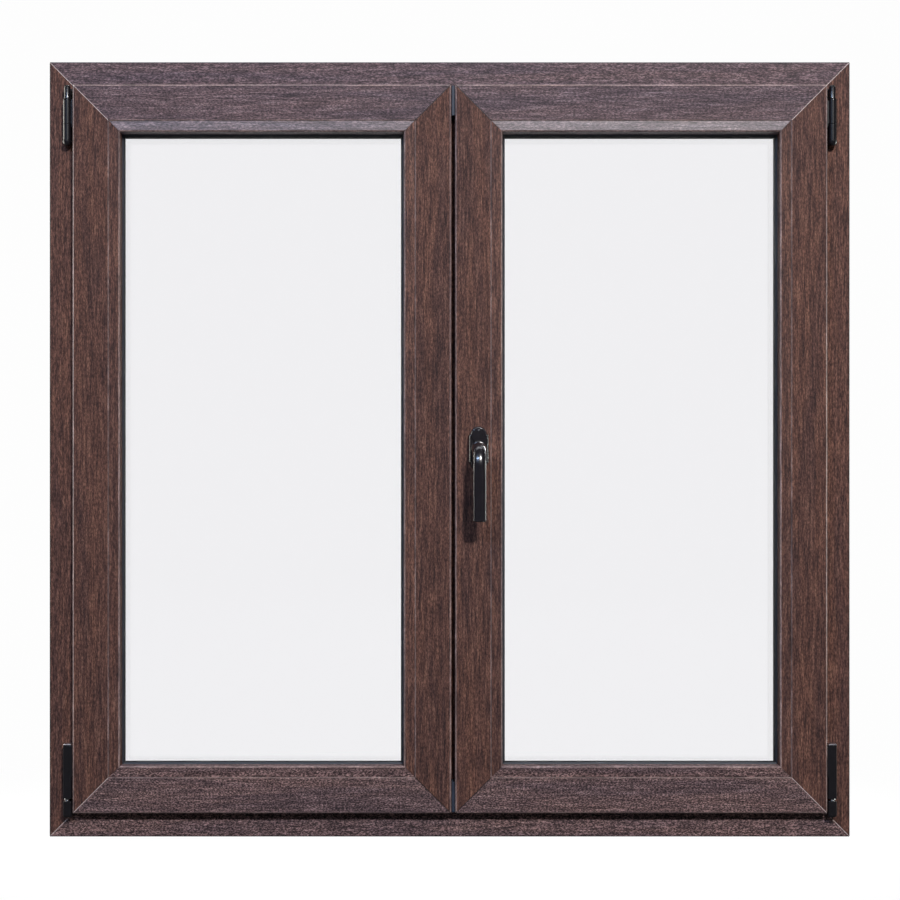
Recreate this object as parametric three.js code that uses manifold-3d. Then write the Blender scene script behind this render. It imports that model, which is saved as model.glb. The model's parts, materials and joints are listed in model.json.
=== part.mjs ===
// A two-sash inward-opening casement window in multi-chamber PVC profile with a dark woodgrain laminate.
// The left sash is the passive leaf and carries the meeting profile (floating mullion) with two edge bolts.
// The right sash is the active leaf: its handle turns a pinion, which slides the drive rail and its cams.
// Millimetres. +X to the right seen from the room, +Y to the outdoors, +Z up.
// The origin is the middle of the frame's underside: mid-width, mid-depth of the frame profile.
import * as THREE from "three";
import { mergeVertices } from "three/addons/utils/BufferGeometryUtils.js";
import Module from "manifold-3d";

const wasm = await Module();
wasm.setup();

// ---- Driving dimensions -------------------------------------------------------------------------
const WIDTH = 1250;
const HEIGHT = 1210;
const FRAME_DEPTH = 70;
const FRAME_SHOWN = 40; // frame face left visible around the sashes
const OVERLAP = 8; // sash flange over the frame's room face, and stop over the sash's outer face
const AIR_GAP = 12; // between the frame's rebate floor and the sash body
const FLANGE = OVERLAP + AIR_GAP; // sash flange edge to sash body
const SASH_PROUD = 20; // sash face in front of the frame face
const SASH_DEPTH = 70;
const STILE = 56; // sash flange edge to bead joint
const LEG = 70; // sash flange edge to the top of the outer glazing leg
const GLASS_EDGE = 61; // sash flange edge to the edge of the sealed unit
const LIP = 78.3; // sash flange edge to the tip of the bead's soft lip
const GASKET = 3;
const PANE = 4;
const CAVITY = 16;
const MEETING_LEFT = 2; // passive sash's flange edge
const MEETING_RIGHT = 8; // active sash's flange edge
const SEAM = 0.2; // half of the gap left along each bar at a welded mitre
const FIT = 0.3; // gap between parts that touch

// Planes of the section, in Y
const FRAME_ROOM = -FRAME_DEPTH / 2;
const FRAME_OUT = FRAME_DEPTH / 2;
const STOP = FRAME_OUT - 15; // room side of the frame's outer stop
const SASH_ROOM = FRAME_ROOM - SASH_PROUD;
const SASH_OUT = SASH_ROOM + SASH_DEPTH;
const FLANGE_BACK = FRAME_ROOM - GASKET;
const LEG_ROOM = SASH_OUT - 19; // room side of the outer glazing leg
const PANE_OUT = LEG_ROOM - GASKET;
const PANE_ROOM = PANE_OUT - 2 * PANE - CAVITY;
const GROOVE_Y = FLANGE_BACK + 13; // axis of the hardware groove

const FRAME_RING = { x0: -WIDTH / 2, x1: WIDTH / 2, z0: 0, z1: HEIGHT };
const sashRing = (x0, x1) => ({ x0, x1, z0: FRAME_SHOWN, z1: HEIGHT - FRAME_SHOWN });
const LEFT_RING = sashRing(-WIDTH / 2 + FRAME_SHOWN, MEETING_LEFT);
const RIGHT_RING = sashRing(MEETING_RIGHT, WIDTH / 2 - FRAME_SHOWN);
const SIDES = ["top", "bottom", "left", "right"];

// Hinges
const HINGE_X = 595;
const HINGE_Y = FRAME_ROOM - 10;
const KNUCKLE_R = 6.8;
const BALL_R = 7.3;
const PIN_R = 3;
const STRAP_REACH = HINGE_X - RIGHT_RING.x1 - FIT; // hinge axis to the sash's edge

// Handle and lock
const HANDLE_Z = HEIGHT / 2;
const SPINDLE_INSET = 36; // sash flange edge to spindle axis
const HANDLE_X = MEETING_RIGHT + SPINDLE_INSET;
const SPINDLE = 7; // square bar
const SOCKET = SPINDLE + 2 * FIT;
const RAIL_INSET = FLANGE + 3.1; // sash flange edge to the drive rail's near face
const RAIL_THICK = 2.5;
const TEETH = 12;
const PITCH_R = SPINDLE_INSET - RAIL_INSET - RAIL_THICK / 2;
const TOOTH_PITCH = (2 * Math.PI * PITCH_R) / TEETH;
const TRAVEL = (Math.PI / 2) * PITCH_R; // rail travel for a quarter turn of the handle
const CAM_OFFSET = 380; // cams above and below the handle
const SCREW_OFFSET = 21.5;

// Meeting profile and edge bolts
const WEB_LEFT = MEETING_LEFT - FLANGE + FIT;
const WEB_RIGHT = MEETING_RIGHT + OVERLAP;
const PLATE_HALF = 36;
const CAP_LENGTH = 50; // end cap, from the sash's flange edge inwards
const BOLT_X = WEB_RIGHT - 5.8;

// ---- Materials ----------------------------------------------------------------------------------
const finish = (color, roughness, metalness = 0, opacity = 1) =>
  new THREE.MeshStandardMaterial({ color, roughness, metalness, opacity, transparent: opacity < 1 });
const LAMINATE = finish(0x5d443c, 0.5);
const RUBBER = finish(0x17181b, 0.75);
const BLACK = finish(0x19191c, 0.25);
const BRONZE = finish(0x2a2422, 0.28, 0.6);
const STEEL = finish(0xb4b6b8, 0.35, 1);
const ZINC = finish(0x9c9fa3, 0.4, 1);
const SPACER = finish(0x26282b, 0.5);
const GLASS = finish(0xe8eef0, 0.02, 0, 0.25);
const DARK_PLASTIC = finish(0x2b2e33, 0.45);

// ---- Shape helpers ------------------------------------------------------------------------------
const outline = (points) => new THREE.Shape(points.map(([a, b]) => new THREE.Vector2(a, b)));

const rectangle = (a0, a1, b0, b1) => [
  [a0, b0],
  [a1, b0],
  [a1, b1],
  [a0, b1],
];

// An outline with holes, each hole a list of points.
function section(points, holes = []) {
  const shape = outline(points);
  shape.holes = holes.map((hole) => outline(hole));
  return shape;
}

const circle = (cx, cy, r) => new THREE.Shape().absarc(cx, cy, r, 0, 2 * Math.PI, false);

function roundedRectangle(cx, cy, halfWidth, halfHeight, r) {
  const shape = new THREE.Shape();
  const corners = [
    [1, -1],
    [1, 1],
    [-1, 1],
    [-1, -1],
  ];
  corners.forEach(([sx, sy], i) => {
    const start = (i - 1) * (Math.PI / 2);
    shape.absarc(cx + sx * (halfWidth - r), cy + sy * (halfHeight - r), r, start, start + Math.PI / 2, false);
  });
  shape.closePath();
  return shape;
}

// Drops each point that lies on the next one, as where two arcs meet.
const distinct = (points) => points.filter((p, i) => p.distanceTo(points[(i + 1) % points.length]) > 1e-3);

function extrude(shape, depth, segments = 6) {
  const plain = new THREE.Shape(distinct(shape.getPoints(segments)));
  plain.holes = shape.holes.map((hole) => new THREE.Path(distinct(hole.getPoints(segments))));
  return new THREE.ExtrudeGeometry(plain, { depth, bevelEnabled: false });
}

// An outline in (X, Y), from z0 to z1.
const alongZ = (shape, z0, z1, segments) => extrude(shape, z1 - z0, segments).translate(0, 0, z0);

// An outline in (X, Z), from y0 to y1.
const alongY = (shape, y0, y1, segments) =>
  extrude(shape, y1 - y0, segments).rotateX(Math.PI / 2).translate(0, y1, 0);

// An outline in (Y, Z), from x0 to x1.
const alongX = (shape, x0, x1, segments) =>
  extrude(shape, x1 - x0, segments).rotateX(Math.PI / 2).rotateZ(Math.PI / 2).translate(x0, 0, 0);

const block = (x0, x1, y0, y1, z0, z1) =>
  new THREE.BoxGeometry(x1 - x0, y1 - y0, z1 - z0).translate((x0 + x1) / 2, (y0 + y1) / 2, (z0 + z1) / 2);

// A closed profile of [radius, height] points turned about the vertical axis through (x, y).
function turned(x, y, points, segments = 20) {
  const profile = points.map(([r, z]) => new THREE.Vector2(r, z));
  return new THREE.LatheGeometry(profile, segments).rotateX(Math.PI / 2).translate(x, y, 0);
}

const upright = (x, y, r, z0, z1, segments = 20) =>
  turned(x, y, [[0, z0], [r, z0], [r, z1], [0, z1]], segments);

// A bar of a mitred ring: the section's first coordinate runs inwards from the ring's edge, its second is Y.
function mitredBar(shape, ring, side) {
  const upDown = side === "top" || side === "bottom";
  const low = upDown ? ring.x0 : ring.z0;
  const high = upDown ? ring.x1 : ring.z1;
  const geometry = extrude(shape, 1);
  const at = geometry.getAttribute("position");
  for (let i = 0; i < at.count; i++) {
    const inward = at.getX(i);
    const y = at.getY(i);
    const end = inward + SEAM;
    const far = at.getZ(i) > 0.5;
    const forward = side === "top" || side === "left";
    const along = far === forward ? high - end : low + end;
    if (side === "top") at.setXYZ(i, along, y, ring.z1 - inward);
    if (side === "bottom") at.setXYZ(i, along, y, ring.z0 + inward);
    if (side === "left") at.setXYZ(i, ring.x0 + inward, y, along);
    if (side === "right") at.setXYZ(i, ring.x1 - inward, y, along);
  }
  return geometry;
}

// A flat picture-frame ring between two distances inwards from a ring's edge, from y0 to y1.
function flatRing(ring, outer, inner, y0, y1) {
  const inset = (d) => rectangle(ring.x0 + d, ring.x1 - d, ring.z0 + d, ring.z1 - d);
  return alongY(section(inset(outer), [inset(inner)]), y0, y1);
}

// ---- Solid helpers ------------------------------------------------------------------------------
function solid(geometry) {
  const bare = geometry.index ? geometry.toNonIndexed() : geometry.clone();
  const merged = mergeVertices(
    new THREE.BufferGeometry().setAttribute("position", bare.getAttribute("position")),
    1e-3,
  );
  return new wasm.Manifold(
    new wasm.Mesh({
      numProp: 3,
      vertProperties: merged.attributes.position.array,
      triVerts: new Uint32Array(merged.index.array),
    }),
  );
}

function geometryOf(manifold) {
  const { vertProperties, triVerts } = manifold.getMesh();
  return new THREE.BufferGeometry()
    .setAttribute("position", new THREE.BufferAttribute(vertProperties, 3))
    .setIndex(new THREE.BufferAttribute(triVerts, 1));
}

const join = (...parts) => geometryOf(parts.map(solid).reduce((a, b) => a.add(b)));

const cut = (part, ...tools) => geometryOf(tools.map(solid).reduce((a, b) => a.subtract(b), solid(part)));

const mirrored = (geometry) => {
  const flipped = geometry.toNonIndexed().scale(-1, 1, 1);
  const at = flipped.getAttribute("position");
  for (let i = 0; i < at.count; i += 3) {
    const [x, y, z] = [at.getX(i), at.getY(i), at.getZ(i)];
    at.setXYZ(i, at.getX(i + 1), at.getY(i + 1), at.getZ(i + 1));
    at.setXYZ(i + 1, x, y, z);
  }
  return new THREE.BufferGeometry().setAttribute("position", at);
};

// The same shape upside down about mid-height.
const upsideDown = (geometry) =>
  mirrored(geometry).rotateY(Math.PI).translate(0, 0, HEIGHT);

const windowGroup = new THREE.Group();

function add(name, geometry, material) {
  const mesh = new THREE.Mesh(geometry, material);
  mesh.name = name;
  windowGroup.add(mesh);
}

// ---- Outer frame --------------------------------------------------------------------------------
const FRAME_REBATE = FRAME_SHOWN + OVERLAP;
const STOP_TOP = FRAME_REBATE + FLANGE;
const KEEP_HALF = 8; // half-width of the recesses that hardware plates sit in
const KEEP_DEPTH = 3;

function frameSection() {
  const grooveRoom = GROOVE_Y - KEEP_HALF;
  const grooveOut = GROOVE_Y + KEEP_HALF;
  const anchorGroove = (y0, y1) => [
    [0, y0],
    [3, y0],
    [3, y1],
    [0, y1],
  ];
  const points = [
    [1, FRAME_ROOM],
    [FRAME_REBATE - 1, FRAME_ROOM],
    [FRAME_REBATE, FRAME_ROOM + 1],
    [FRAME_REBATE, grooveRoom],
    [FRAME_REBATE - KEEP_DEPTH, grooveRoom],
    [FRAME_REBATE - KEEP_DEPTH, grooveOut],
    [FRAME_REBATE, grooveOut],
    [FRAME_REBATE, STOP],
    [STOP_TOP - 4, STOP],
    [STOP_TOP, STOP + 3],
    [STOP_TOP, FRAME_OUT - 3],
    [STOP_TOP - 2, FRAME_OUT],
    [1, FRAME_OUT],
    [0, FRAME_OUT - 1],
    ...anchorGroove(22, 10),
    ...anchorGroove(-10, -22),
    [0, FRAME_ROOM + 1],
  ];
  const chambers = [
    rectangle(6, 42, -32, -19.5),
    rectangle(6, 42, -17, 8),
    rectangle(6, 45, 10.5, 18),
    rectangle(6, 45, 20.5, 32),
    rectangle(48, 65, 23, 32),
  ];
  return section(points, chambers);
}

const BOLT_HOLE_R = 5;

// The head, with the hole that the passive sash's top bolt shoots into.
function frameHead() {
  const hole = upright(BOLT_X, GROOVE_Y, BOLT_HOLE_R, HEIGHT - FRAME_REBATE, HEIGHT - 36);
  return cut(mitredBar(frameSection(), FRAME_RING, "top"), hole);
}

function frameSill() {
  const hole = upright(BOLT_X, GROOVE_Y, BOLT_HOLE_R, 36, FRAME_REBATE);
  return cut(mitredBar(frameSection(), FRAME_RING, "bottom"), hole);
}

add("frame_head", frameHead(), LAMINATE);
add("frame_sill", frameSill(), LAMINATE);
add("frame_jamb_left", mitredBar(frameSection(), FRAME_RING, "left"), LAMINATE);
add("frame_jamb_right", mitredBar(frameSection(), FRAME_RING, "right"), LAMINATE);
add("frame_seal", flatRing(FRAME_RING, 61, 66, SASH_OUT + 0.4, STOP - FIT), RUBBER);

// Hooded cap over each drainage slot, on the outdoor face of the sill.
function drainCap(x) {
  const hood = roundedRectangle(x, 20, 21, 7, 4);
  return alongY(hood, FRAME_OUT + FIT, FRAME_OUT + 4.5, 4);
}

add("drain_cap_left", drainCap(-380), BLACK);
add("drain_cap_right", drainCap(380), BLACK);

// Striker plate let into the rebate floor, for an edge bolt.
function boltKeep() {
  const z0 = HEIGHT - FRAME_REBATE + 0.4;
  const plate = alongZ(roundedRectangle(BOLT_X, GROOVE_Y, 22, KEEP_HALF - FIT, 3), z0, z0 + 2.3, 4);
  return cut(plate, upright(BOLT_X, GROOVE_Y, BOLT_HOLE_R - 0.4, z0 - 1, z0 + 4));
}

add("bolt_keep_top", boltKeep(), ZINC);
add("bolt_keep_bottom", upsideDown(boltKeep()), ZINC);

// ---- Sashes -------------------------------------------------------------------------------------
const RAIL_GROOVE = 12; // width of the hardware groove
const GROOVE_DEPTH = 12;
const BEAD_FOOT = [-45.7, -43.3];

function sashSection() {
  const corner = 3.5;
  const arc = [0, 1, 2, 3].map((i) => {
    const a = (i * Math.PI) / 6;
    return [corner - corner * Math.cos(a), SASH_ROOM + corner - corner * Math.sin(a)];
  });
  const half = RAIL_GROOVE / 2;
  const points = [
    ...arc,
    [STILE, SASH_ROOM],
    [STILE, BEAD_FOOT[0] - FIT],
    [STILE - 2.5, BEAD_FOOT[0] - FIT],
    [STILE - 2.5, BEAD_FOOT[1] + FIT],
    [STILE, BEAD_FOOT[1] + FIT],
    [STILE, LEG_ROOM],
    [LEG - 2, LEG_ROOM],
    [LEG, LEG_ROOM + 2],
    [LEG, SASH_OUT - 4],
    [LEG - 4, SASH_OUT],
    [FLANGE, SASH_OUT],
    [FLANGE, GROOVE_Y + KEEP_HALF],
    [FLANGE + KEEP_DEPTH, GROOVE_Y + KEEP_HALF],
    [FLANGE + KEEP_DEPTH, GROOVE_Y + half],
    [FLANGE + GROOVE_DEPTH, GROOVE_Y + half],
    [FLANGE + GROOVE_DEPTH, GROOVE_Y - half],
    [FLANGE + KEEP_DEPTH, GROOVE_Y - half],
    [FLANGE + KEEP_DEPTH, GROOVE_Y - KEEP_HALF],
    [FLANGE, GROOVE_Y - KEEP_HALF],
    [FLANGE, FLANGE_BACK],
    [1.5, FLANGE_BACK],
    [0, FLANGE_BACK - 1.5],
  ];
  const chambers = [
    rectangle(3.5, 16.5, -51.2, -41),
    rectangle(23, 50.5, -52, -36),
    rectangle(35, 53, -33.5, -8),
    rectangle(23, 32, -15.5, -8),
    rectangle(23, 53, -5, 3.5),
    rectangle(23, 53, 6, 12),
    rectangle(57, LEG - 3, -0.5, 11.5),
  ];
  return section(points, chambers);
}

// Glazing bead: clip foot, sloping face, rounded shoulder, wall and soft lip on the glass.
function beadSection() {
  const base = STILE + FIT;
  return outline([
    [base, SASH_ROOM + 0.9],
    [base + 0.7, SASH_ROOM + 0.3],
    [70, SASH_ROOM + 2.8],
    [72.3, SASH_ROOM + 4.1],
    [73.6, SASH_ROOM + 6.2],
    [74, SASH_ROOM + 8.5],
    [74, -37.5],
    [LIP, -33.5],
    [LIP, PANE_ROOM - FIT],
    [GLASS_EDGE + 2, PANE_ROOM - FIT],
    [GLASS_EDGE, -34.5],
    [base, -34.5],
    [base, BEAD_FOOT[1]],
    [base - 2.2, BEAD_FOOT[1]],
    [base - 2.2, BEAD_FOOT[0]],
    [base, BEAD_FOOT[0]],
  ]);
}

// Routed pocket for the gearbox, with the spindle and screw holes, in the active sash's meeting stile.
function lockStile(bar) {
  const pocket = block(
    MEETING_RIGHT + FLANGE + 4,
    MEETING_RIGHT + 50.4,
    GROOVE_Y - 7,
    GROOVE_Y + 7,
    HANDLE_Z - 54,
    HANDLE_Z + 54,
  );
  const hole = (r, dz) => alongY(circle(HANDLE_X, HANDLE_Z + dz, r), SASH_ROOM - 1, GROOVE_Y - 6);
  return cut(bar, pocket, hole(7, 0), hole(3, SCREW_OFFSET), hole(3, -SCREW_OFFSET));
}

// A sash's four welded bars, four beads, sealed unit and seals. sideNames gives its left and right bar names.
function addSash(prefix, ring, sideNames) {
  const barNames = { top: "top_rail", bottom: "bottom_rail", ...sideNames };
  for (const side of SIDES) {
    const bar = mitredBar(sashSection(), ring, side);
    const routed = prefix === "right" && side === "left";
    add(`${prefix}_sash_${barNames[side]}`, routed ? lockStile(bar) : bar, LAMINATE);
  }
  for (const side of SIDES) {
    add(`${prefix}_bead_${side}`, mitredBar(beadSection(), ring, side), LAMINATE);
  }
  const paneBox = (y0, y1) =>
    block(ring.x0 + GLASS_EDGE, ring.x1 - GLASS_EDGE, y0, y1, ring.z0 + GLASS_EDGE, ring.z1 - GLASS_EDGE);
  add(`${prefix}_room_pane`, paneBox(PANE_ROOM, PANE_ROOM + PANE), GLASS);
  add(`${prefix}_outer_pane`, paneBox(PANE_OUT - PANE, PANE_OUT), GLASS);
  const spacerRoom = PANE_ROOM + PANE + FIT;
  const spacerOut = PANE_OUT - PANE - FIT;
  add(`${prefix}_spacer_bar`, flatRing(ring, GLASS_EDGE + 2, GLASS_EDGE + 9, spacerRoom, spacerOut), SPACER);
  const glazingSeal = flatRing(ring, GLASS_EDGE + 3, LEG + 2, PANE_OUT + FIT, LEG_ROOM - FIT);
  add(`${prefix}_glazing_seal`, glazingSeal, RUBBER);
  add(`${prefix}_sash_seal`, flatRing(ring, 2, 7, FLANGE_BACK + FIT, FRAME_ROOM - FIT), RUBBER);
}

addSash("left", LEFT_RING, { left: "hinge_stile", right: "meeting_stile" });
addSash("right", RIGHT_RING, { left: "meeting_stile", right: "hinge_stile" });

// ---- Meeting profile on the passive sash --------------------------------------------------------
const BODY_TOP = HEIGHT - FRAME_REBATE - 4; // top of the end cap inside the rebate
const CAP_START = HEIGHT - FRAME_SHOWN - CAP_LENGTH;
const PLATE_TOP = HEIGHT - STOP_TOP - 2;
const BOLT_GROOVE = 11;

// The web's room side and bolt groove, shared by the profile and its end caps.
const webFront = [
  [WEB_LEFT, FRAME_ROOM],
  [WEB_RIGHT, FRAME_ROOM],
  [WEB_RIGHT, GROOVE_Y - RAIL_GROOVE / 2],
  [WEB_RIGHT - BOLT_GROOVE, GROOVE_Y - RAIL_GROOVE / 2],
  [WEB_RIGHT - BOLT_GROOVE, GROOVE_Y + RAIL_GROOVE / 2],
  [WEB_RIGHT, GROOVE_Y + RAIL_GROOVE / 2],
];

const meetingOutline = [
  ...webFront,
  [WEB_RIGHT, STOP],
  [PLATE_HALF, STOP],
  [PLATE_HALF, FRAME_OUT - 3],
  [PLATE_HALF - 3, FRAME_OUT],
  [-PLATE_HALF + 3, FRAME_OUT],
  [-PLATE_HALF, FRAME_OUT - 3],
  [-PLATE_HALF, SASH_OUT + FIT],
  [WEB_LEFT, SASH_OUT + FIT],
];

const meetingChambers = [
  rectangle(-14.5, 2, -32, -16),
  rectangle(-14.5, 13, -13, 19.5),
  rectangle(-33, 33, 22.5, 32),
];

const meetingSection = section(meetingOutline, meetingChambers);
add("meeting_profile", alongZ(meetingSection, HEIGHT - CAP_START, CAP_START), LAMINATE);

// End cap: the profile's outline, then the web alone beside the frame's rebate, then a tongue in the gap.
function meetingCap() {
  const start = CAP_START + FIT;
  const whole = alongZ(outline(meetingOutline), start, PLATE_TOP);
  const webOutline = outline([...webFront, [WEB_RIGHT, SASH_OUT], [WEB_LEFT, SASH_OUT]]);
  const web = alongZ(webOutline, PLATE_TOP - 1, BODY_TOP);
  const tongueLeft = MEETING_LEFT + 0.8;
  const tongueRight = MEETING_RIGHT - 0.8;
  const tongueFront = FRAME_ROOM - 6;
  const lower = block(tongueLeft, tongueRight, tongueFront, FRAME_ROOM + 1, start, BODY_TOP);
  const upper = block(
    tongueLeft,
    tongueRight,
    tongueFront,
    FRAME_ROOM - 0.4,
    BODY_TOP - 5,
    HEIGHT - FRAME_SHOWN - 1.5,
  );
  return join(whole, web, lower, upper);
}

add("meeting_cap_top", meetingCap(), DARK_PLASTIC);
add("meeting_cap_bottom", upsideDown(meetingCap()), DARK_PLASTIC);
add("meeting_seal", block(29, 34, SASH_OUT + 0.4, STOP - FIT, HEIGHT - PLATE_TOP, PLATE_TOP), RUBBER);

// Edge bolt: a flat slider with finger notches, ending in a round bolt.
function edgeBolt() {
  const flatTop = HEIGHT - FRAME_REBATE - 16;
  const flat = block(BOLT_X - 3, BOLT_X + 3.2, GROOVE_Y - 4.7, GROOVE_Y + 4.7, flatTop - 146, flatTop);
  const rod = upright(BOLT_X, GROOVE_Y, 4, flatTop - 2, HEIGHT - 38);
  const notches = [0, 1, 2].map((i) => {
    const z = flatTop - 120 + 12 * i;
    return block(BOLT_X + 1.6, BOLT_X + 6, GROOVE_Y - 6, GROOVE_Y + 6, z, z + 6);
  });
  return cut(join(flat, rod), ...notches);
}

add("top_bolt", edgeBolt(), ZINC);
add("bottom_bolt", upsideDown(edgeBolt()), ZINC);

// Keep for a cam: base plate with a lip on the room side that holds the cam in.
function lockKeep(z) {
  const x = WEB_RIGHT + FIT;
  const plate = alongX(roundedRectangle(GROOVE_Y, z - 4, KEEP_HALF - FIT, 30, 3), x, x + 2, 4);
  const lip = block(x + 1, x + 9, GROOVE_Y - KEEP_HALF + FIT, GROOVE_Y - 5.4, z - 8, z + 12);
  return join(plate, lip);
}

add("lock_keep_upper", lockKeep(HANDLE_Z + CAM_OFFSET), ZINC);
add("lock_keep_lower", lockKeep(HANDLE_Z - CAM_OFFSET), ZINC);

// ---- Hinges -------------------------------------------------------------------------------------
// Drawn for the right side; the left ones are mirrored.
const TOP_HINGE = { bottom: 1085, knuckle: 1110, knuckleTop: 1147, top: 1168 };
const LOW_HINGE = { bottom: 33, bearingTop: 58, strapBottom: 62, leafBottom: 95, top: 147.5 };

const pinHole = (z0, z1) => upright(HINGE_X, HINGE_Y, PIN_R + FIT, z0, z1);

// Bearing screwed to the frame face: back plate, upper and lower knuckles.
function topBearing() {
  const { bottom, knuckle, knuckleTop, top } = TOP_HINGE;
  const backPlate = block(HINGE_X - 7, HINGE_X + 7, FRAME_ROOM - 2, FRAME_ROOM - FIT, bottom, top);
  const knuckleAt = (z0, z1, r) => upright(HINGE_X, HINGE_Y, r, z0, z1, 24);
  const lug = (z0, z1) => block(HINGE_X - 5, HINGE_X + 5, HINGE_Y, FRAME_ROOM - 1, z0, z1);
  const low = join(knuckleAt(bottom, knuckle - FIT, KNUCKLE_R), lug(bottom, knuckle - FIT));
  const high = join(knuckleAt(knuckleTop + FIT, top, KNUCKLE_R - 0.8), lug(knuckleTop + FIT, top));
  return cut(join(backPlate, low, high), pinHole(bottom - 1, top + 1));
}

// Pin with a domed head above and a ball end below.
function topPin() {
  const { bottom, top } = TOP_HINGE;
  const ball = [0, 1, 2, 3, 4, 5].map((i) => {
    const a = (i / 5 - 1) * (Math.PI / 2);
    return [BALL_R * Math.cos(a), bottom - FIT - 1 + 8 * Math.sin(a)];
  });
  const dome = [0, 1, 2, 3, 4].map((i) => {
    const a = (i / 4) * (Math.PI / 2);
    return [5.2 * Math.cos(a), top + FIT + 1 + 2.2 * Math.sin(a)];
  });
  const profile = [
    ...ball,
    [BALL_R, bottom - FIT],
    [PIN_R, bottom - FIT],
    [PIN_R, top + FIT],
    [5.2, top + FIT],
    ...dome,
  ];
  profile[0][0] = 0;
  profile[profile.length - 1][0] = 0;
  return turned(HINGE_X, HINGE_Y, profile, 24);
}

// Knuckle and leaf on the active side: the leaf lies against the edge of the sash flange.
function topStrap() {
  const { knuckle, knuckleTop } = TOP_HINGE;
  const barrel = upright(HINGE_X, HINGE_Y, KNUCKLE_R, knuckle, knuckleTop, 24);
  const leaf = block(HINGE_X - STRAP_REACH, HINGE_X, HINGE_Y - 3.5, HINGE_Y + 3, knuckle - 6, knuckleTop);
  const edge = block(
    HINGE_X - STRAP_REACH,
    HINGE_X - STRAP_REACH + 2.2,
    SASH_ROOM + 4,
    FLANGE_BACK - 2,
    knuckle - 6,
    knuckleTop,
  );
  const clear = upright(HINGE_X, HINGE_Y, KNUCKLE_R + FIT, knuckle - 7, knuckle, 24);
  return cut(join(barrel, leaf, edge), clear, pinHole(knuckle - 1, knuckleTop + 1));
}

const CASING = { x: HINGE_X - 1.4, half: 7.4, radius: 3.6 }; // covers reach towards the sash

// Bearing block on the frame with its upright pin.
function bottomBearing() {
  const { bottom, bearingTop } = LOW_HINGE;
  const casing = roundedRectangle(CASING.x, HINGE_Y, CASING.half, CASING.half, CASING.radius);
  const body = alongZ(casing, bottom, bearingTop, 4);
  const foot = block(HINGE_X - 6, HINGE_X + 6, HINGE_Y, FRAME_ROOM - FIT, bottom + 1, bearingTop - 1);
  const pin = upright(HINGE_X, HINGE_Y, PIN_R, bearingTop - 1, 100);
  return join(body, foot, pin);
}

// Barrel and leaf on the sash, with a blind bore for the bearing's pin.
function bottomStrap() {
  const { strapBottom, leafBottom, top } = LOW_HINGE;
  const casing = roundedRectangle(CASING.x, HINGE_Y, CASING.half, CASING.half - 0.3, CASING.radius);
  const barrel = alongZ(casing, strapBottom, top, 4);
  const leaf = block(HINGE_X - STRAP_REACH, HINGE_X, HINGE_Y - 7.2, HINGE_Y + 4, leafBottom, top);
  return cut(join(barrel, leaf), pinHole(strapBottom - 1, 101));
}

for (const [side, place] of [
  ["left", mirrored],
  ["right", (geometry) => geometry],
]) {
  add(`${side}_top_hinge_bearing`, place(topBearing()), BLACK);
  add(`${side}_top_hinge_pin`, place(topPin()), BLACK);
  add(`${side}_top_hinge_strap`, place(topStrap()), BLACK);
  add(`${side}_bottom_hinge_bearing`, place(bottomBearing()), BLACK);
  add(`${side}_bottom_hinge_strap`, place(bottomStrap()), BLACK);
}

// ---- Lock ---------------------------------------------------------------------------------------
const railFace = MEETING_RIGHT + RAIL_INSET;
const CAM_R = 4.5;
const STEM_R = 3.2;

// Pinion with straight-flanked teeth and a square hole for the spindle.
function pinion() {
  const root = PITCH_R - 1.5;
  const tip = PITCH_R + 1.2;
  const shape = new THREE.Shape();
  for (let i = 0; i < TEETH; i++) {
    const middle = Math.PI + (i * 2 * Math.PI) / TEETH;
    const flank = [
      [root, -1.15 / root],
      [tip, -0.7 / tip],
      [tip, 0.7 / tip],
      [root, 1.15 / root],
    ];
    flank.forEach(([r, a], j) => {
      const [x, z] = [HANDLE_X + r * Math.cos(middle + a), HANDLE_Z + r * Math.sin(middle + a)];
      if (i + j) shape.lineTo(x, z);
      else shape.moveTo(x, z);
    });
  }
  const half = SOCKET / 2;
  const square = rectangle(HANDLE_X - half, HANDLE_X + half, HANDLE_Z - half, HANDLE_Z + half);
  shape.holes = [outline(square)];
  return alongY(shape, GROOVE_Y - 4, GROOVE_Y + 4);
}

// Gearbox case, open on the rail side, with spindle and screw holes.
function gearboxCase() {
  const x0 = MEETING_RIGHT + RAIL_INSET + RAIL_THICK + 0.6;
  const x1 = MEETING_RIGHT + 49.8;
  const shell = block(x0, x1, GROOVE_Y - 6.3, GROOVE_Y + 6.3, HANDLE_Z - 52, HANDLE_Z + 52);
  const cavity = alongY(circle(HANDLE_X, HANDLE_Z, PITCH_R + 1.8), GROOVE_Y - 4.6, GROOVE_Y + 4.6, 12);
  const hole = (r, dz) => alongY(circle(HANDLE_X, HANDLE_Z + dz, r), GROOVE_Y - 10, GROOVE_Y + 10);
  return cut(shell, cavity, hole(6, 0), hole(2.6, SCREW_OFFSET), hole(2.6, -SCREW_OFFSET));
}

// Faceplate in the stile's groove, with a slot for each cam's travel.
function faceplate() {
  const x0 = MEETING_RIGHT + FLANGE + 0.2;
  const plate = alongX(roundedRectangle(GROOVE_Y, HANDLE_Z, KEEP_HALF - FIT, 450, 4), x0, x0 + 2.5, 4);
  const slots = [CAM_OFFSET, -CAM_OFFSET].map((dz) => {
    const z = HANDLE_Z + dz - TRAVEL / 2;
    const slot = roundedRectangle(GROOVE_Y, z, STEM_R + 0.5, TRAVEL / 2 + STEM_R + 0.8, STEM_R);
    return alongX(slot, x0 - 1, x0 + 4, 4);
  });
  return cut(plate, ...slots);
}

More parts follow.
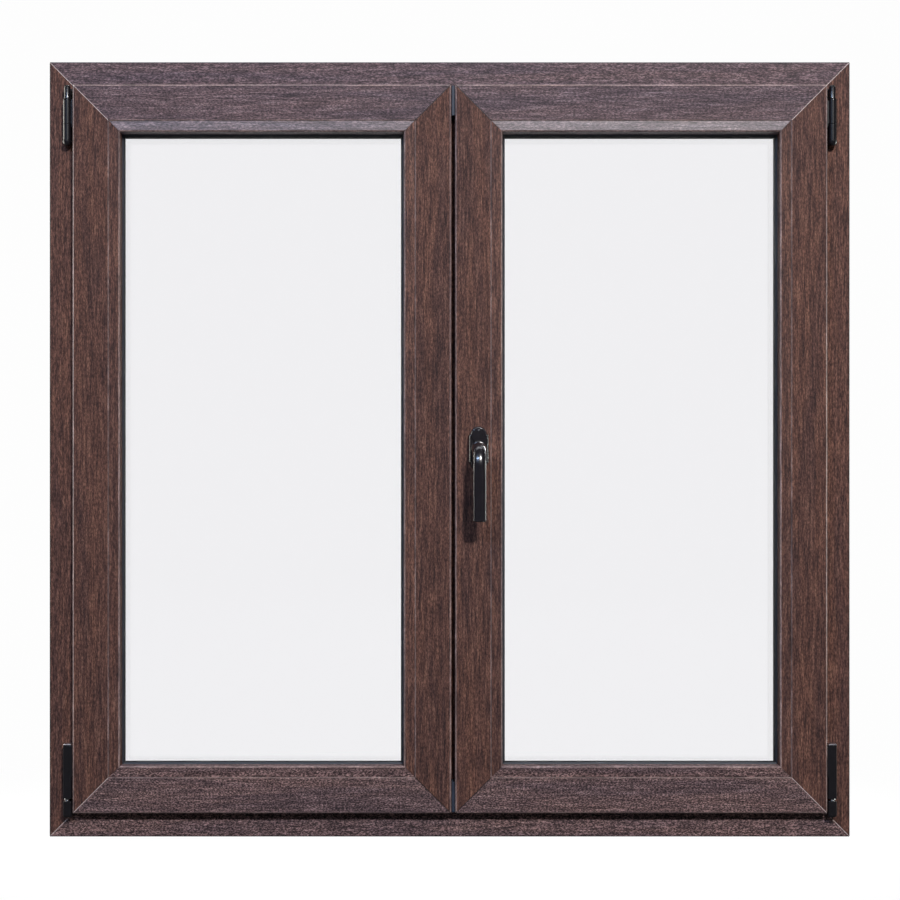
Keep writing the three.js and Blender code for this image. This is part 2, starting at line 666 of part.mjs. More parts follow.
// Drive rail with its row of tooth windows and two roller cams.
function driveRail() {
  const x0 = railFace;
  const bar = block(x0, x0 + RAIL_THICK, GROOVE_Y - 5, GROOVE_Y + 5, HANDLE_Z - 430, HANDLE_Z + 430);
  const window = (i) => {
    const z = HANDLE_Z + i * TOOTH_PITCH;
    return block(x0 - 1, x0 + RAIL_THICK + 1, GROOVE_Y - 4.3, GROOVE_Y + 4.3, z - 1.8, z + 1.8);
  };
  const windows = Array.from({ length: 10 }, (_, i) => window(i - 3));
  const rod = (r, from, to, z) => alongX(circle(GROOVE_Y, z, r), from, to, 6);
  const cams = [HANDLE_Z + CAM_OFFSET, HANDLE_Z - CAM_OFFSET].flatMap((z) => [
    rod(STEM_R, x0 - 8, x0 + 1, z),
    rod(CAM_R, MEETING_RIGHT + 11.5, MEETING_RIGHT + 18.5, z),
  ]);
  return cut(join(bar, ...cams), ...windows);
}

add("lock_faceplate", faceplate(), ZINC);
add("lock_gearbox", gearboxCase(), ZINC);
add("lock_pinion", pinion(), STEEL);
add("drive_rail", driveRail(), ZINC);

// ---- Handle -------------------------------------------------------------------------------------
const ROSETTE_BACK = SASH_ROOM - FIT;
const ROSETTE_FRONT = SASH_ROOM - 11;
const LEVER_BACK = ROSETTE_FRONT - FIT;
const GRIP_Y = SASH_ROOM - 46; // middle of the grip
const LEVER_LENGTH = 113;
const SPINDLE_REACH = 14; // spindle in the lever's neck

// Rosette: straight sides and bowed ends, with a hole for the spindle.
function rosette() {
  const halfWidth = 15.8;
  const straight = 26.5;
  const bow = 8;
  const r = (halfWidth ** 2 + bow ** 2) / (2 * bow);
  const swing = Math.asin(halfWidth / r);
  const shape = new THREE.Shape();
  const cx = HANDLE_X;
  shape.absarc(cx, HANDLE_Z + straight + bow - r, r, Math.PI / 2 - swing, Math.PI / 2 + swing, false);
  shape.absarc(cx, HANDLE_Z - straight - bow + r, r, -Math.PI / 2 - swing, -Math.PI / 2 + swing, false);
  shape.closePath();
  shape.holes = [circle(cx, HANDLE_Z, 6)];
  return alongY(shape, ROSETTE_FRONT, ROSETTE_BACK, 10);
}

// Lever: a round neck that bends down into a flat oval grip, lofted from rings along its middle line.
function lever() {
  const neckEnd = new THREE.Vector3(HANDLE_X, GRIP_Y + 26, HANDLE_Z);
  const route = new THREE.CurvePath();
  const gripTop = new THREE.Vector3(HANDLE_X, GRIP_Y, HANDLE_Z - 28);
  const gripEnd = new THREE.Vector3(HANDLE_X, GRIP_Y, HANDLE_Z - LEVER_LENGTH);
  route.add(new THREE.LineCurve3(new THREE.Vector3(HANDLE_X, LEVER_BACK, HANDLE_Z), neckEnd));
  route.add(new THREE.QuadraticBezierCurve3(neckEnd, new THREE.Vector3(HANDLE_X, GRIP_Y, HANDLE_Z), gripTop));
  route.add(new THREE.LineCurve3(gripTop, gripEnd));
  const rings = 16;
  const geometry = new THREE.CylinderGeometry(1, 1, 1, 16, rings);
  const at = geometry.getAttribute("position");
  for (let i = 0; i < at.count; i++) {
    const t = 0.5 - at.getY(i);
    const middle = route.getPointAt(t);
    const ahead = route.getTangentAt(t);
    const across = new THREE.Vector3(0, ahead.z, -ahead.y);
    const width = 8.8 + 0.8 * Math.sin(Math.PI * t) - 1.2 * t;
    const thick = 8.4 - 2.4 * Math.min(1, t * 2);
    const place = middle.addScaledVector(across, at.getZ(i) * thick);
    at.setXYZ(i, place.x + at.getX(i) * width, place.y, place.z);
  }
  const collar = alongY(circle(HANDLE_X, HANDLE_Z, 12), LEVER_BACK - 4, LEVER_BACK, 10);
  const half = SOCKET / 2;
  const socket = block(
    HANDLE_X - half,
    HANDLE_X + half,
    LEVER_BACK - SPINDLE_REACH - 0.5,
    LEVER_BACK + 1,
    HANDLE_Z - half,
    HANDLE_Z + half,
  );
  return cut(join(geometry, collar), socket);
}

function spindle() {
  const half = SPINDLE / 2;
  return block(
    HANDLE_X - half,
    HANDLE_X + half,
    LEVER_BACK - SPINDLE_REACH,
    GROOVE_Y + 5.5,
    HANDLE_Z - half,
    HANDLE_Z + half,
  );
}

add("handle_rosette", rosette(), BRONZE);
add("handle_lever", lever(), BRONZE);
add("handle_spindle", spindle(), STEEL);

export default windowGroup;
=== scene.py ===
"""Looks for a two-sash casement window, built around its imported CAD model.

Sections are in millimetres: (inward, y) pairs, where inward runs from a ring's outer edge towards the glass
and y is the row's own Y. Everything handed to Blender is in metres.
"""
import json
import math

import bmesh
import bpy
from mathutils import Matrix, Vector

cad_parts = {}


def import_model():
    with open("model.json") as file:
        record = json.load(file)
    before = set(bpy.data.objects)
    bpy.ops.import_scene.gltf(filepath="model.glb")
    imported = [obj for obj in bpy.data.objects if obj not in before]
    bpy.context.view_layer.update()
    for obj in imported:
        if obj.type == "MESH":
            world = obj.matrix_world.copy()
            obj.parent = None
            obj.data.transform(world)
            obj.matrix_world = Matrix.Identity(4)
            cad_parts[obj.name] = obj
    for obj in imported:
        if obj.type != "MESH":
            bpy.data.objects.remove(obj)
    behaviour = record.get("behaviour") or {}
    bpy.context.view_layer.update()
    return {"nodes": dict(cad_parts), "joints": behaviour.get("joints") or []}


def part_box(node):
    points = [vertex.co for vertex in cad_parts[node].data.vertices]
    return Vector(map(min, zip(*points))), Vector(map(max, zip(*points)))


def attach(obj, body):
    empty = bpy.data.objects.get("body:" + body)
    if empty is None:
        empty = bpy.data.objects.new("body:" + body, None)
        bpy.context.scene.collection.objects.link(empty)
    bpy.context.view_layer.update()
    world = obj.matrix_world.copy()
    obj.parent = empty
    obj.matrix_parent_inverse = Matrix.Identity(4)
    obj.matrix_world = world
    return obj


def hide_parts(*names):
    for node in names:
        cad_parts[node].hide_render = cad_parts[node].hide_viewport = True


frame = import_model()
NODES = frame["nodes"]
JOINTS = {joint["name"]: joint for joint in frame["joints"]}
MM = 0.001
scene = bpy.context.scene


# ---- Places taken from the frame ------------------------------------------------------------------
def ring_of(left, right, bottom, top):
    """The outer edges (x0, x1, z0, z1) of a ring of four bars, in metres."""
    return (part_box(left)[0].x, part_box(right)[1].x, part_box(bottom)[0].z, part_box(top)[1].z)


FRAME_RING = ring_of("frame_jamb_left", "frame_jamb_right", "frame_sill", "frame_head")
SASH_RINGS = {
    "left": ring_of(
        "left_sash_hinge_stile", "left_sash_meeting_stile", "left_sash_bottom_rail", "left_sash_top_rail"
    ),
    "right": ring_of(
        "right_sash_meeting_stile", "right_sash_hinge_stile", "right_sash_bottom_rail", "right_sash_top_rail"
    ),
}
FRAME_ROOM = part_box("frame_head")[0].y / MM
FRAME_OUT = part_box("frame_head")[1].y / MM
SASH_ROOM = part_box("left_sash_top_rail")[0].y / MM
SASH_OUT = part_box("left_sash_top_rail")[1].y / MM
WIDTH = FRAME_RING[1] - FRAME_RING[0]
HEIGHT = FRAME_RING[3] - FRAME_RING[2]


# ---- Mesh helpers ---------------------------------------------------------------------------------
def new_object(name, bm, materials, smooth_angle=32):
    """Turns a bmesh into an object with smooth faces and sharp edges past an angle in degrees."""
    bmesh.ops.recalc_face_normals(bm, faces=bm.faces)
    mesh = bpy.data.meshes.new(name)
    bm.to_mesh(mesh)
    bm.free()
    for material in materials:
        mesh.materials.append(material)
    mesh.shade_smooth()
    mesh.set_sharp_from_angle(angle=math.radians(smooth_angle))
    piece = bpy.data.objects.new(name, mesh)
    scene.collection.objects.link(piece)
    keep_faces_flat(piece)
    return piece


def keep_faces_flat(piece):
    """Large faces keep their own normals, and only the small edge faces shade round."""
    modifier = piece.modifiers.new("flat faces", "WEIGHTED_NORMAL")
    modifier.mode = "FACE_AREA"
    modifier.keep_sharp = True


def place(piece, body, slot, *replaced):
    """Rides the piece on its body and hides the CAD nodes that it stands for. slot is not used."""
    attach(piece, body)
    if replaced:
        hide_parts(*replaced)


def around(steps):
    """Angles in radians, evenly spaced round a full turn."""
    return [2 * math.pi * k / steps for k in range(steps)]


def quarter(start, end, steps):
    """Angles in radians, evenly spaced between two angles in degrees."""
    return [math.radians(start + (end - start) * k / steps) for k in range(steps + 1)]


def rounded(corners, steps=4):
    """Outline points from (u, v, radius) corners: a corner with a radius becomes an arc."""
    points = []
    for i, (u, v, radius) in enumerate(corners):
        here = Vector((u, v))
        if not radius:
            points.append(here)
            continue
        before = Vector(corners[i - 1][:2]) - here
        after = Vector(corners[(i + 1) % len(corners)][:2]) - here
        half = before.angle(after) / 2
        reach = min(radius / math.tan(half), 0.49 * before.length, 0.49 * after.length)
        radius = reach * math.tan(half)
        centre = here + (before.normalized() + after.normalized()).normalized() * (radius / math.sin(half))
        start = here + before.normalized() * reach - centre
        end = here + after.normalized() * reach - centre
        a = math.atan2(start.y, start.x)
        turn = (math.atan2(end.y, end.x) - a + math.pi) % (2 * math.pi) - math.pi
        for k in range(steps + 1):
            b = a + turn * k / steps
            points.append(centre + Vector((math.cos(b), math.sin(b))) * radius)
    return points


def inset(points, depth):
    """The outline moved towards its own inside by depth."""
    area = sum(a.x * b.y - b.x * a.y for a, b in zip(points, points[1:] + points[:1]))
    sign = 1 if area > 0 else -1
    moved = []
    for i, here in enumerate(points):
        into = (here - points[i - 1]).normalized()
        out = (points[(i + 1) % len(points)] - here).normalized()
        normal = Vector((-(into.y + out.y), into.x + out.x)).normalized() * sign
        moved.append(here + normal * depth)
    return moved


def loft(bm, rings, paint=None):
    """Skins a list of equal rings of points and closes its ends. paint(ring, point) gives a face's slot."""
    rows = [[bm.verts.new(p) for p in ring] for ring in rings]
    count = len(rows[0])
    for i in range(len(rows) - 1):
        for j in range(count):
            k = (j + 1) % count
            face = bm.faces.new((rows[i][j], rows[i][k], rows[i + 1][k], rows[i + 1][j]))
            if paint:
                face.material_index = paint(i, j)
    bm.faces.new(rows[0])
    bm.faces.new(list(reversed(rows[-1])))


def turned(bm, x, y, profile):
    """A solid of revolution about the upright line at (x, y). profile is (radius, z) from end to end."""
    rings = []
    for radius, z in profile:
        rings.append(
            [Vector((x + radius * math.cos(a), y + radius * math.sin(a), z)) * MM for a in around(48)]
        )
    loft(bm, rings)


def stacked(bm, points, levels, to_point):
    """A soft-edged plate: the outline at each (height, inset). to_point(u, v, height) gives a place."""
    loft(bm, [[to_point(p.x, p.y, height) for p in inset(points, depth)] for height, depth in levels])


def edge_levels(low, high, radius):
    """Levels from low to high with a rounded edge of that radius at each end."""
    levels = []
    for a in quarter(90, 0, 3):
        levels.append((low + radius * (1 - math.sin(a)), radius * (1 - math.cos(a))))
    tail = [(high - (height - low), depth) for height, depth in reversed(levels)]
    return levels + tail


def soft_cylinder(low, high, radius, edge=0.8):
    """Profile of a cylinder with rounded rims, on the axis at both ends."""
    profile = []
    for a in quarter(0, 90, 4):
        profile.append((radius - edge + edge * math.sin(a), low + edge - edge * math.cos(a)))
    top = [(r, high - (z - low)) for r, z in reversed(profile)]
    return [(0.05, low)] + profile + top + [(0.05, high)]


def soft_box(bm, x0, x1, y0, y1, z0, z1, corner=1.5, edge=0.6):
    """A box with rounded upright corners and rounded top and bottom edges."""
    outline = rounded([(x0, y0, corner), (x1, y0, corner), (x1, y1, corner), (x0, y1, corner)])
    stacked(bm, outline, edge_levels(z0, z1, edge), lambda u, v, h: Vector((u, v, h)) * MM)


# ---- Material helpers -----------------------------------------------------------------------------
class Nodes:
    """Short calls for building one material's node tree, in object coordinates."""

    def __init__(self, name):
        self.material = bpy.data.materials.new(name)
        self.material.use_nodes = True
        self.tree = self.material.node_tree
        self.shader = self.tree.nodes["Principled BSDF"]
        self.coordinates = self.tree.nodes.new("ShaderNodeTexCoord").outputs["Object"]

    def link(self, source, target):
        """Joins an output socket to an input socket."""
        self.tree.links.new(source, target)

    def stretched(self, scale):
        """Object coordinates scaled along each axis."""
        mapping = self.tree.nodes.new("ShaderNodeMapping")
        mapping.inputs["Scale"].default_value = scale
        self.link(self.coordinates, mapping.inputs["Vector"])
        return mapping.outputs["Vector"]

    def noise(self, vector, scale, detail=4.0, roughness=0.55, distortion=0.0):
        """Fractal noise, with scale in cells per metre."""
        node = self.tree.nodes.new("ShaderNodeTexNoise")
        node.inputs["Scale"].default_value = scale
        node.inputs["Detail"].default_value = detail
        node.inputs["Roughness"].default_value = roughness
        node.inputs["Distortion"].default_value = distortion
        self.link(vector, node.inputs["Vector"])
        return node.outputs["Fac"]

    def ramp(self, value, stops):
        """A colour ramp through (position, colour) stops."""
        node = self.tree.nodes.new("ShaderNodeValToRGB")
        elements = node.color_ramp.elements
        while len(elements) < len(stops):
            elements.new(0.5)
        for element, (position, colour) in zip(elements, stops):
            element.position = position
            element.color = (*colour, 1)
        self.link(value, node.inputs["Fac"])
        return node.outputs["Color"]

    def mix(self, factor, a, b, blend="MIX"):
        """A blend of two colours, each a socket or a value."""
        node = self.tree.nodes.new("ShaderNodeMix")
        node.data_type = "RGBA"
        node.blend_type = blend
        for socket, value in ((node.inputs[0], factor), (node.inputs[6], a), (node.inputs[7], b)):
            if isinstance(value, bpy.types.NodeSocket):
                self.link(value, socket)
            else:
                socket.default_value = value
        return node.outputs[2]

    def math(self, operation, a, b=0.0):
        """A sum or product of two numbers, each a socket or a value."""
        node = self.tree.nodes.new("ShaderNodeMath")
        node.operation = operation
        for socket, value in zip(node.inputs, (a, b)):
            if isinstance(value, bpy.types.NodeSocket):
                self.link(value, socket)
            else:
                socket.default_value = value
        return node.outputs[0]

    def between(self, value, low, high):
        """Maps 0 to 1 onto low to high."""
        node = self.tree.nodes.new("ShaderNodeMapRange")
        node.inputs["To Min"].default_value = low
        node.inputs["To Max"].default_value = high
        self.link(value, node.inputs["Value"])
        return node.outputs["Result"]

    def bump(self, height, distance):
        """Relief on the shader's normal, with distance in metres."""
        node = self.tree.nodes.new("ShaderNodeBump")
        node.inputs["Distance"].default_value = distance
        node.inputs["Strength"].default_value = 1.0
        self.link(height, node.inputs["Height"])
        self.link(node.outputs["Normal"], self.shader.inputs["Normal"])

    def set(self, **values):
        """Sets the shader's own sockets."""
        names = {"colour": "Base Color", "specular": "Specular IOR Level", "coat": "Coat Weight"}
        for key, value in values.items():
            name = names.get(key, key.replace("_", " ").title().replace("Ior", "IOR"))
            self.shader.inputs[name].default_value = (*value, 1) if isinstance(value, tuple) else value


def drawn_out(axis, scale):
    """Mapping scale that draws a pattern out along one axis."""
    return [scale if k == axis else 1.0 for k in range(3)]


def laminate(name, along, tones, grit, roughness, specular, pore_stretch=0.30):
    """Walnut foil, embossed along the grain. along is the grain's axis: 0 for X, 2 for Z.

    tones runs from the dark figure to the light one. grit is the contrast of the fine pores, and
    pore_stretch is 1 for round pores and less for long ones.
    """
    n = Nodes(name)
    broad = n.stretched(drawn_out(along, 0.075))
    fine = n.stretched(drawn_out(along, pore_stretch))
    streaks = n.noise(broad, 340, detail=7, roughness=0.66, distortion=0.3)
    figure = n.ramp(streaks, list(zip((0.33, 0.44, 0.53, 0.66), tones)))
    bands = n.noise(broad, 42, detail=3, roughness=0.5, distortion=0.8)
    shades = n.ramp(bands, [(0.35, (0.84, 0.85, 0.90)), (0.65, (1.14, 1.10, 1.04))])
    pores = n.noise(fine, 620, detail=3, roughness=0.75)
    low, high = 1 / (1 + grit), 1 + grit
    light_pore = (high, high * 0.98, high * 0.97)
    marks = n.ramp(pores, [(0.39, (low, low, low)), (0.50, (1, 1, 1)), (0.61, light_pore)])
    colour = n.mix(1.0, n.mix(1.0, figure, shades, "MULTIPLY"), marks, "MULTIPLY")
    n.link(colour, n.shader.inputs["Base Color"])
    n.link(n.between(streaks, roughness + 0.07, roughness - 0.07), n.shader.inputs["Roughness"])
    relief = n.math("ADD", n.math("MULTIPLY", pores, 0.8), n.math("MULTIPLY", streaks, 0.4))
    n.bump(relief, 0.00030)
    n.set(specular=specular)
    return n.material


def moulded(name, colour, roughness, grain=2600, depth=0.00003, spread=0.06, **more):
    """Moulded or coated surface: fine texture, and roughness that varies a little over the surface."""
    n = Nodes(name)
    plain = n.stretched((1, 1, 1))
    cloud = n.noise(plain, 90, detail=5)
    tint = n.ramp(cloud, [(0.3, tuple(c * 0.82 for c in colour)), (0.7, tuple(c * 1.15 for c in colour))])
    n.link(tint, n.shader.inputs["Base Color"])
    n.link(n.between(cloud, roughness - spread, roughness + spread), n.shader.inputs["Roughness"])
    n.bump(n.noise(plain, grain, detail=2), depth)
    n.set(**more)
    return n.material


def glass(name):
    """Clear glass with a slight grey tint."""
    n = Nodes(name)
    n.set(colour=(0.957, 0.955, 0.965), roughness=0.0, transmission_weight=1.0, ior=1.5)
    return n.material


# The across and bottom tones hold a painted bluish-grey sheen of light from above; the bottom tones carry
# less of it.
TONES_X_SHEEN = [(0.041, 0.026, 0.029), (0.068, 0.042, 0.047), (0.096, 0.060, 0.066), (0.156, 0.107, 0.114)]
TONES_LOW_SHEEN = [(0.036, 0.022, 0.022), (0.060, 0.036, 0.036), (0.087, 0.053, 0.051), (0.142, 0.092, 0.088)]
TONES_Z = [(0.034, 0.018, 0.016), (0.066, 0.031, 0.025), (0.098, 0.045, 0.034), (0.160, 0.080, 0.057)]
# Tones of a painted highlight along rounded edges, joints and shoulders.
EDGE_HIGHLIGHT_TONES = [(0.115, 0.078, 0.072), (0.18, 0.122, 0.113), (0.245, 0.168, 0.156), (0.38, 0.275, 0.255)]
# Foil on the members that run across, on the bottom ones, and on the upright ones. The across foils' greyer,
# bluer tones are a painted sheen of light from above, weaker on the bottom members, and their stronger pore
# contrast paints the sparkle of light on the emboss, most of all on the bottom members.
WOOD_X_SHEEN = laminate("walnut_foil_across_painted_sheen", 0, TONES_X_SHEEN, 1.30, 0.62, specular=0.28, pore_stretch=0.38)
WOOD_LOW_SHEEN_GLINTS = laminate("walnut_foil_low_painted_sheen_glints", 0, TONES_LOW_SHEEN, 3.0, 0.62, specular=0.28, pore_stretch=0.50)
WOOD_Z = laminate("walnut_foil_upright", 2, TONES_Z, 0.78, 0.68, specular=0.18)
# Lighter foil for rounded edges, joints and shoulders: a painted highlight.
EDGE_HIGHLIGHT_X = laminate("foil_edge_across_painted_highlight", 0, EDGE_HIGHLIGHT_TONES, 0.75, 0.45, specular=0.3)
EDGE_HIGHLIGHT_Z = laminate("foil_edge_upright_painted_highlight", 2, EDGE_HIGHLIGHT_TONES, 0.50, 0.45, specular=0.3)
# The top beads' foil is lighter than the rails' foil: a painted sheen of light from above.
TOP_BEAD_SHEEN_TONES = [(0.056, 0.038, 0.042), (0.092, 0.063, 0.069), (0.130, 0.090, 0.098), (0.200, 0.150, 0.160)]
TOP_BEAD_SHEEN = laminate("top_bead_foil_painted_sheen", 0, TOP_BEAD_SHEEN_TONES, 1.00, 0.45, specular=0.5)
BEAD_Z = laminate("bead_foil_upright", 2, TONES_Z, 0.78, 0.60, specular=0.2)
CORE = moulded("dark_brown_core", (0.018, 0.012, 0.011), 0.42, grain=1500)
# A pale line in the weld grooves: a painted highlight of light caught in the groove.
WELD = moulded("weld_line_painted_highlight", (0.54, 0.43, 0.40), 0.26)
RUBBER = moulded("black_seal", (0.0045, 0.005, 0.0065), 0.55)
# The grey on the lip's rib is a painted highlight; the rest of the lip is black rubber.
LIP = moulded("soft_lip_rib_painted_highlight", (0.024, 0.028, 0.038), 0.5)
GLASS = glass("clear_glass")
SPACER = moulded("warm_edge_spacer", (0.020, 0.021, 0.024), 0.5, grain=900, depth=0.0001)
HINGE = moulded(
    "black_hinge_cover",
    (0.0062, 0.0050, 0.0066),
    0.36,
    grain=2200,
    depth=0.000003,
    spread=0.03,
    specular=0.2,
    coat=0.6,
    coat_roughness=0.14,
)
HINGE_LID = moulded("satin_hinge_lid", (0.50, 0.47, 0.50), 0.30, grain=900, depth=0.000004, metallic=1.0)
HINGE_PIN = moulded(
    "polished_pin", (0.80, 0.80, 0.82), 0.16, grain=500, depth=0.000004, spread=0.02, metallic=1.0
)
BRONZE = moulded(
    "dark_bronze_handle",
    (0.0075, 0.0052, 0.0080),
    0.22,
    grain=2200,
    depth=0.000002,
    spread=0.02,
    specular=0.9,
    coat=0.5,
    coat_roughness=0.09,
)
STEEL = moulded("steel", (0.42, 0.43, 0.44), 0.3, metallic=1.0)
ZINC = moulded("zinc_plate", (0.52, 0.53, 0.56), 0.34, grain=700, depth=0.00006, metallic=1.0)
DRAIN = moulded("drain_cap_plastic", (0.030, 0.022, 0.020), 0.45)
CAP = moulded("slate_end_cap", (0.026, 0.033, 0.050), 0.50, specular=0.3)


# ---- Sections of the profiles ---------------------------------------------------------------------
FRAME_OUTLINE = rounded(
    [
        (0, FRAME_ROOM, 1.3),
        (48, FRAME_ROOM, 1.6),
        (48, -33, 0.4),
        (45, -33, 0.4),
        (45, -17, 0.4),
        (48, -17, 0.4),
        (48, 20, 0.8),
        (60.6, 20, 0.3),
        (60.6, 22.6, 0),
        (66.4, 22.6, 0),
        (66.4, 20, 0.3),
        (68, 20, 1.0),
        (68, FRAME_OUT, 3.5),
        (0, FRAME_OUT, 1.0),
        (0, 22, 0),
        (3, 22, 0.3),
        (3, 10, 0.3),
        (0, 10, 0),
        (0, -10, 0),
        (3, -10, 0.3),
        (3, -22, 0.3),
        (0, -22, 0),
    ]
)
SASH_OUTLINE = rounded(
    [
        (0, SASH_ROOM + 2.1, 1.2),
        (2.1, SASH_ROOM, 1.2),
        (55.9, SASH_ROOM, 1.0),
        (55.9, -4, 0.3),
        (68.4, -4, 0.4),
        (70, -2.4, 0.6),
        (70, SASH_OUT, 5.0),
        (20, SASH_OUT, 1.2),
        (20, -17, 0.4),
        (23, -17, 0.3),
        (23, -19, 0.3),
        (32, -19, 0.3),
        (32, -31, 0.3),
        (23, -31, 0.3),
        (23, -33, 0.3),
        (20, -33, 0.4),
        (20, -38, 0.5),
        (0, -38, 1.2),
    ]
)
BEAD_OUTLINE = rounded(
    [
        (56.2, SASH_ROOM + 0.9, 0.5),
        (71.4, SASH_ROOM + 0.1, 0.5),
        (73.3, SASH_ROOM + 2.2, 0.7),
        (74.0, -38.6, 0.4),
        (76.4, -37.0, 0.5),
        (78.2, -33.8, 0.5),
        (78.2, -31.2, 0.3),
        (66.0, -31.2, 0),
        (66.0, -34.5, 0),
        (56.2, -34.5, 0.3),
    ]
)
LIP_START = -38.8  # the bead's soft lip lies outdoors of this plane
LIP_RIB = (-38.7, -36.2)  # its raised rib, painted grey as a highlight


# ---- Bars -----------------------------------------------------------------------------------------
SIDES = ("top", "bottom", "left", "right")
FRAME_NAMES = {
    "top": "frame_head",
    "bottom": "frame_sill",
    "left": "frame_jamb_left",
    "right": "frame_jamb_right",
}
BAR_NAMES = {
    "left": {"top": "top_rail", "bottom": "bottom_rail", "left": "hinge_stile", "right": "meeting_stile"},
    "right": {"top": "top_rail", "bottom": "bottom_rail", "left": "meeting_stile", "right": "hinge_stile"},
}
# The top and bottom foils carry a painted sheen and painted sparkle.
FOIL_GRAIN_AND_SHEEN = {"top": WOOD_X_SHEEN, "bottom": WOOD_LOW_SHEEN_GLINTS, "left": WOOD_Z, "right": WOOD_Z}
# Only the top beads take the lighter foil, which paints a sheen.
BEAD = {"top": TOP_BEAD_SHEEN, "bottom": WOOD_LOW_SHEEN_GLINTS, "left": BEAD_Z, "right": BEAD_Z}
# The edge foils are lighter than the faces: a painted highlight.
EDGE = {"top": EDGE_HIGHLIGHT_X, "bottom": EDGE_HIGHLIGHT_X, "left": EDGE_HIGHLIGHT_Z, "right": EDGE_HIGHLIGHT_Z}
WELD_STATIONS = [(0.05, 0.38), (0.32, 0.38), (0.82, 0.0)]  # (set back from the mitre, groove depth)
BEAD_STATIONS = [(0.10, 0.20), (0.35, 0.0)]
FOIL, PAINTED_HIGHLIGHT, PLASTIC, SEAM = range(4)  # material slots of a bar
RIB, SOLE = PLASTIC, SEAM  # the last two slots of a bead


def bar_point(ring, side, inward, y, along, from_low):
    """A point of a mitred bar. along is the distance from the mitre plane at the bar's low or high end."""
    x0, x1, z0, z1 = ring
    upright = side in ("left", "right")
    low, high = (z0, z1) if upright else (x0, x1)
    reach = (inward + along) * MM
    position = low + reach if from_low else high - reach
    inward *= MM
    if side == "top":
        return Vector((position, y * MM, z1 - inward))
    if side == "bottom":
        return Vector((position, y * MM, z0 + inward))
    if side == "left":
        return Vector((x0 + inward, y * MM, position))
    return Vector((x1 - inward, y * MM, position))


def mitred_bar(name, points, ring, side, materials, stations, paint):
    """A bar of a mitred ring, with a cleaned weld groove or a plain mitre at both ends."""
    bm = bmesh.new()
    ends = [(True, s) for s in stations] + [(False, s) for s in reversed(stations)]
    rings = []
    for from_low, (along, depth) in ends:
        shape = inset(points, depth) if depth else points
        rings.append([bar_point(ring, side, p.x, p.y, along, from_low) for p in shape])
    loft(bm, rings, paint=lambda i, j: paint(i, j, len(rings)))
    return new_object(name, bm, materials)


def face_middle(outline, j):
    return (outline[j] + outline[(j + 1) % len(outline)]) / 2


def weld_end(i, count):
    """0 or 1 where a band of faces is in the weld at the bar's low or high end, and None between them."""
    if i < 2:
        return 0
    return 1 if i > count - 4 else None


def frame_paint(i, j, count):
    """Foil on the room and outdoor faces, plain core plastic in the rebate and against the wall."""
    middle = face_middle(FRAME_OUTLINE, j)
    against_wall = middle.x < 1.3
    in_rebate = -34.0 < middle.y < 19.4
    behind_stop = middle.x < 66.5 and 0 < middle.y < 34
    if against_wall or in_rebate or behind_stop:
        return PLASTIC
    return FOIL if weld_end(i, count) is None else SEAM


def sash_paint(i, j, count, seams):
    """Foil on the room and outdoor faces and round the flange edge, the lighter edge foil as a painted
    highlight on the room-side edges, and core plastic inside.

    seams gives the materials of the welds at the bar's low and high end.
    """
    middle = face_middle(SASH_OUTLINE, j)
    outdoors = middle.y > SASH_OUT - 5.5 and middle.x > 20.2
    behind_flange = middle.y > -37.9
    under_bead = middle.x > 55.85 and middle.y > SASH_ROOM + 1.2
    if not outdoors and (behind_flange or under_bead):
        return PLASTIC
    end = weld_end(i, count)
    if end is not None:
        return seams[end]
    # The lighter edge foil here is a painted highlight on the rounded room-side edges.
    on_edge = middle.y < SASH_ROOM + 2.3 and (middle.x < 2.3 or middle.x > 54.95)
    return PAINTED_HIGHLIGHT if on_edge else FOIL


def bead_paint(i, j, count):
    """Foil on the bead, with the lighter edge foil at its joint and its shoulder as a painted highlight; a
    grey rib, also a painted highlight, and a black sole on its soft lip.
    """
    middle = face_middle(BEAD_OUTLINE, j)
    if middle.y > LIP_START or (middle.x < 70 and middle.y > -50):
        on_rib = middle.x > 70 and LIP_RIB[0] < middle.y < LIP_RIB[1]
        return RIB if on_rib else SOLE
    # The lighter edge foil at the joint and the shoulder is a painted highlight.
    at_joint = middle.x < 56.75 and middle.y < SASH_ROOM + 1.7
    at_shoulder = 71.1 < middle.x < 73.6 and middle.y < SASH_ROOM + 2.6
    return PAINTED_HIGHLIGHT if at_joint or at_shoulder else FOIL


def weld_seams(hand, side):
    """The welds by the hinges get a pale line, a painted highlight of light caught in the weld groove, and
    those by the meeting edge stay dark.
    """
    meeting = "right" if hand == "left" else "left"
    if side == meeting:
        return PLASTIC, PLASTIC
    if side in ("left", "right"):
        return SEAM, SEAM
    return (SEAM, PLASTIC) if meeting == "right" else (PLASTIC, SEAM)


for side in SIDES:
    node = FRAME_NAMES[side]
    piece = mitred_bar(
        node + "_look",
        FRAME_OUTLINE,
        FRAME_RING,
        side,
        [FOIL_GRAIN_AND_SHEEN[side], EDGE[side], CORE, WELD],
        WELD_STATIONS,
        frame_paint,
    )
    place(piece, "frame", "laminate", node)

for hand, ring in SASH_RINGS.items():
    body = hand + "_sash"
    for side in SIDES:
        node = f"{hand}_sash_{BAR_NAMES[hand][side]}"
        piece = mitred_bar(
            node + "_look",
            SASH_OUTLINE,
            ring,
            side,
            [FOIL_GRAIN_AND_SHEEN[side], EDGE[side], CORE, WELD],
            WELD_STATIONS,
            lambda i, j, count, seams=weld_seams(hand, side): sash_paint(i, j, count, seams),
        )
        place(piece, body, "laminate", node)
        node = f"{hand}_bead_{side}"
        piece = mitred_bar(
            node + "_look",
            BEAD_OUTLINE,
            ring,
            side,
            [BEAD[side], EDGE[side], LIP, RUBBER],
            BEAD_STATIONS,
            bead_paint,
        )
        place(piece, body, "laminate", node)


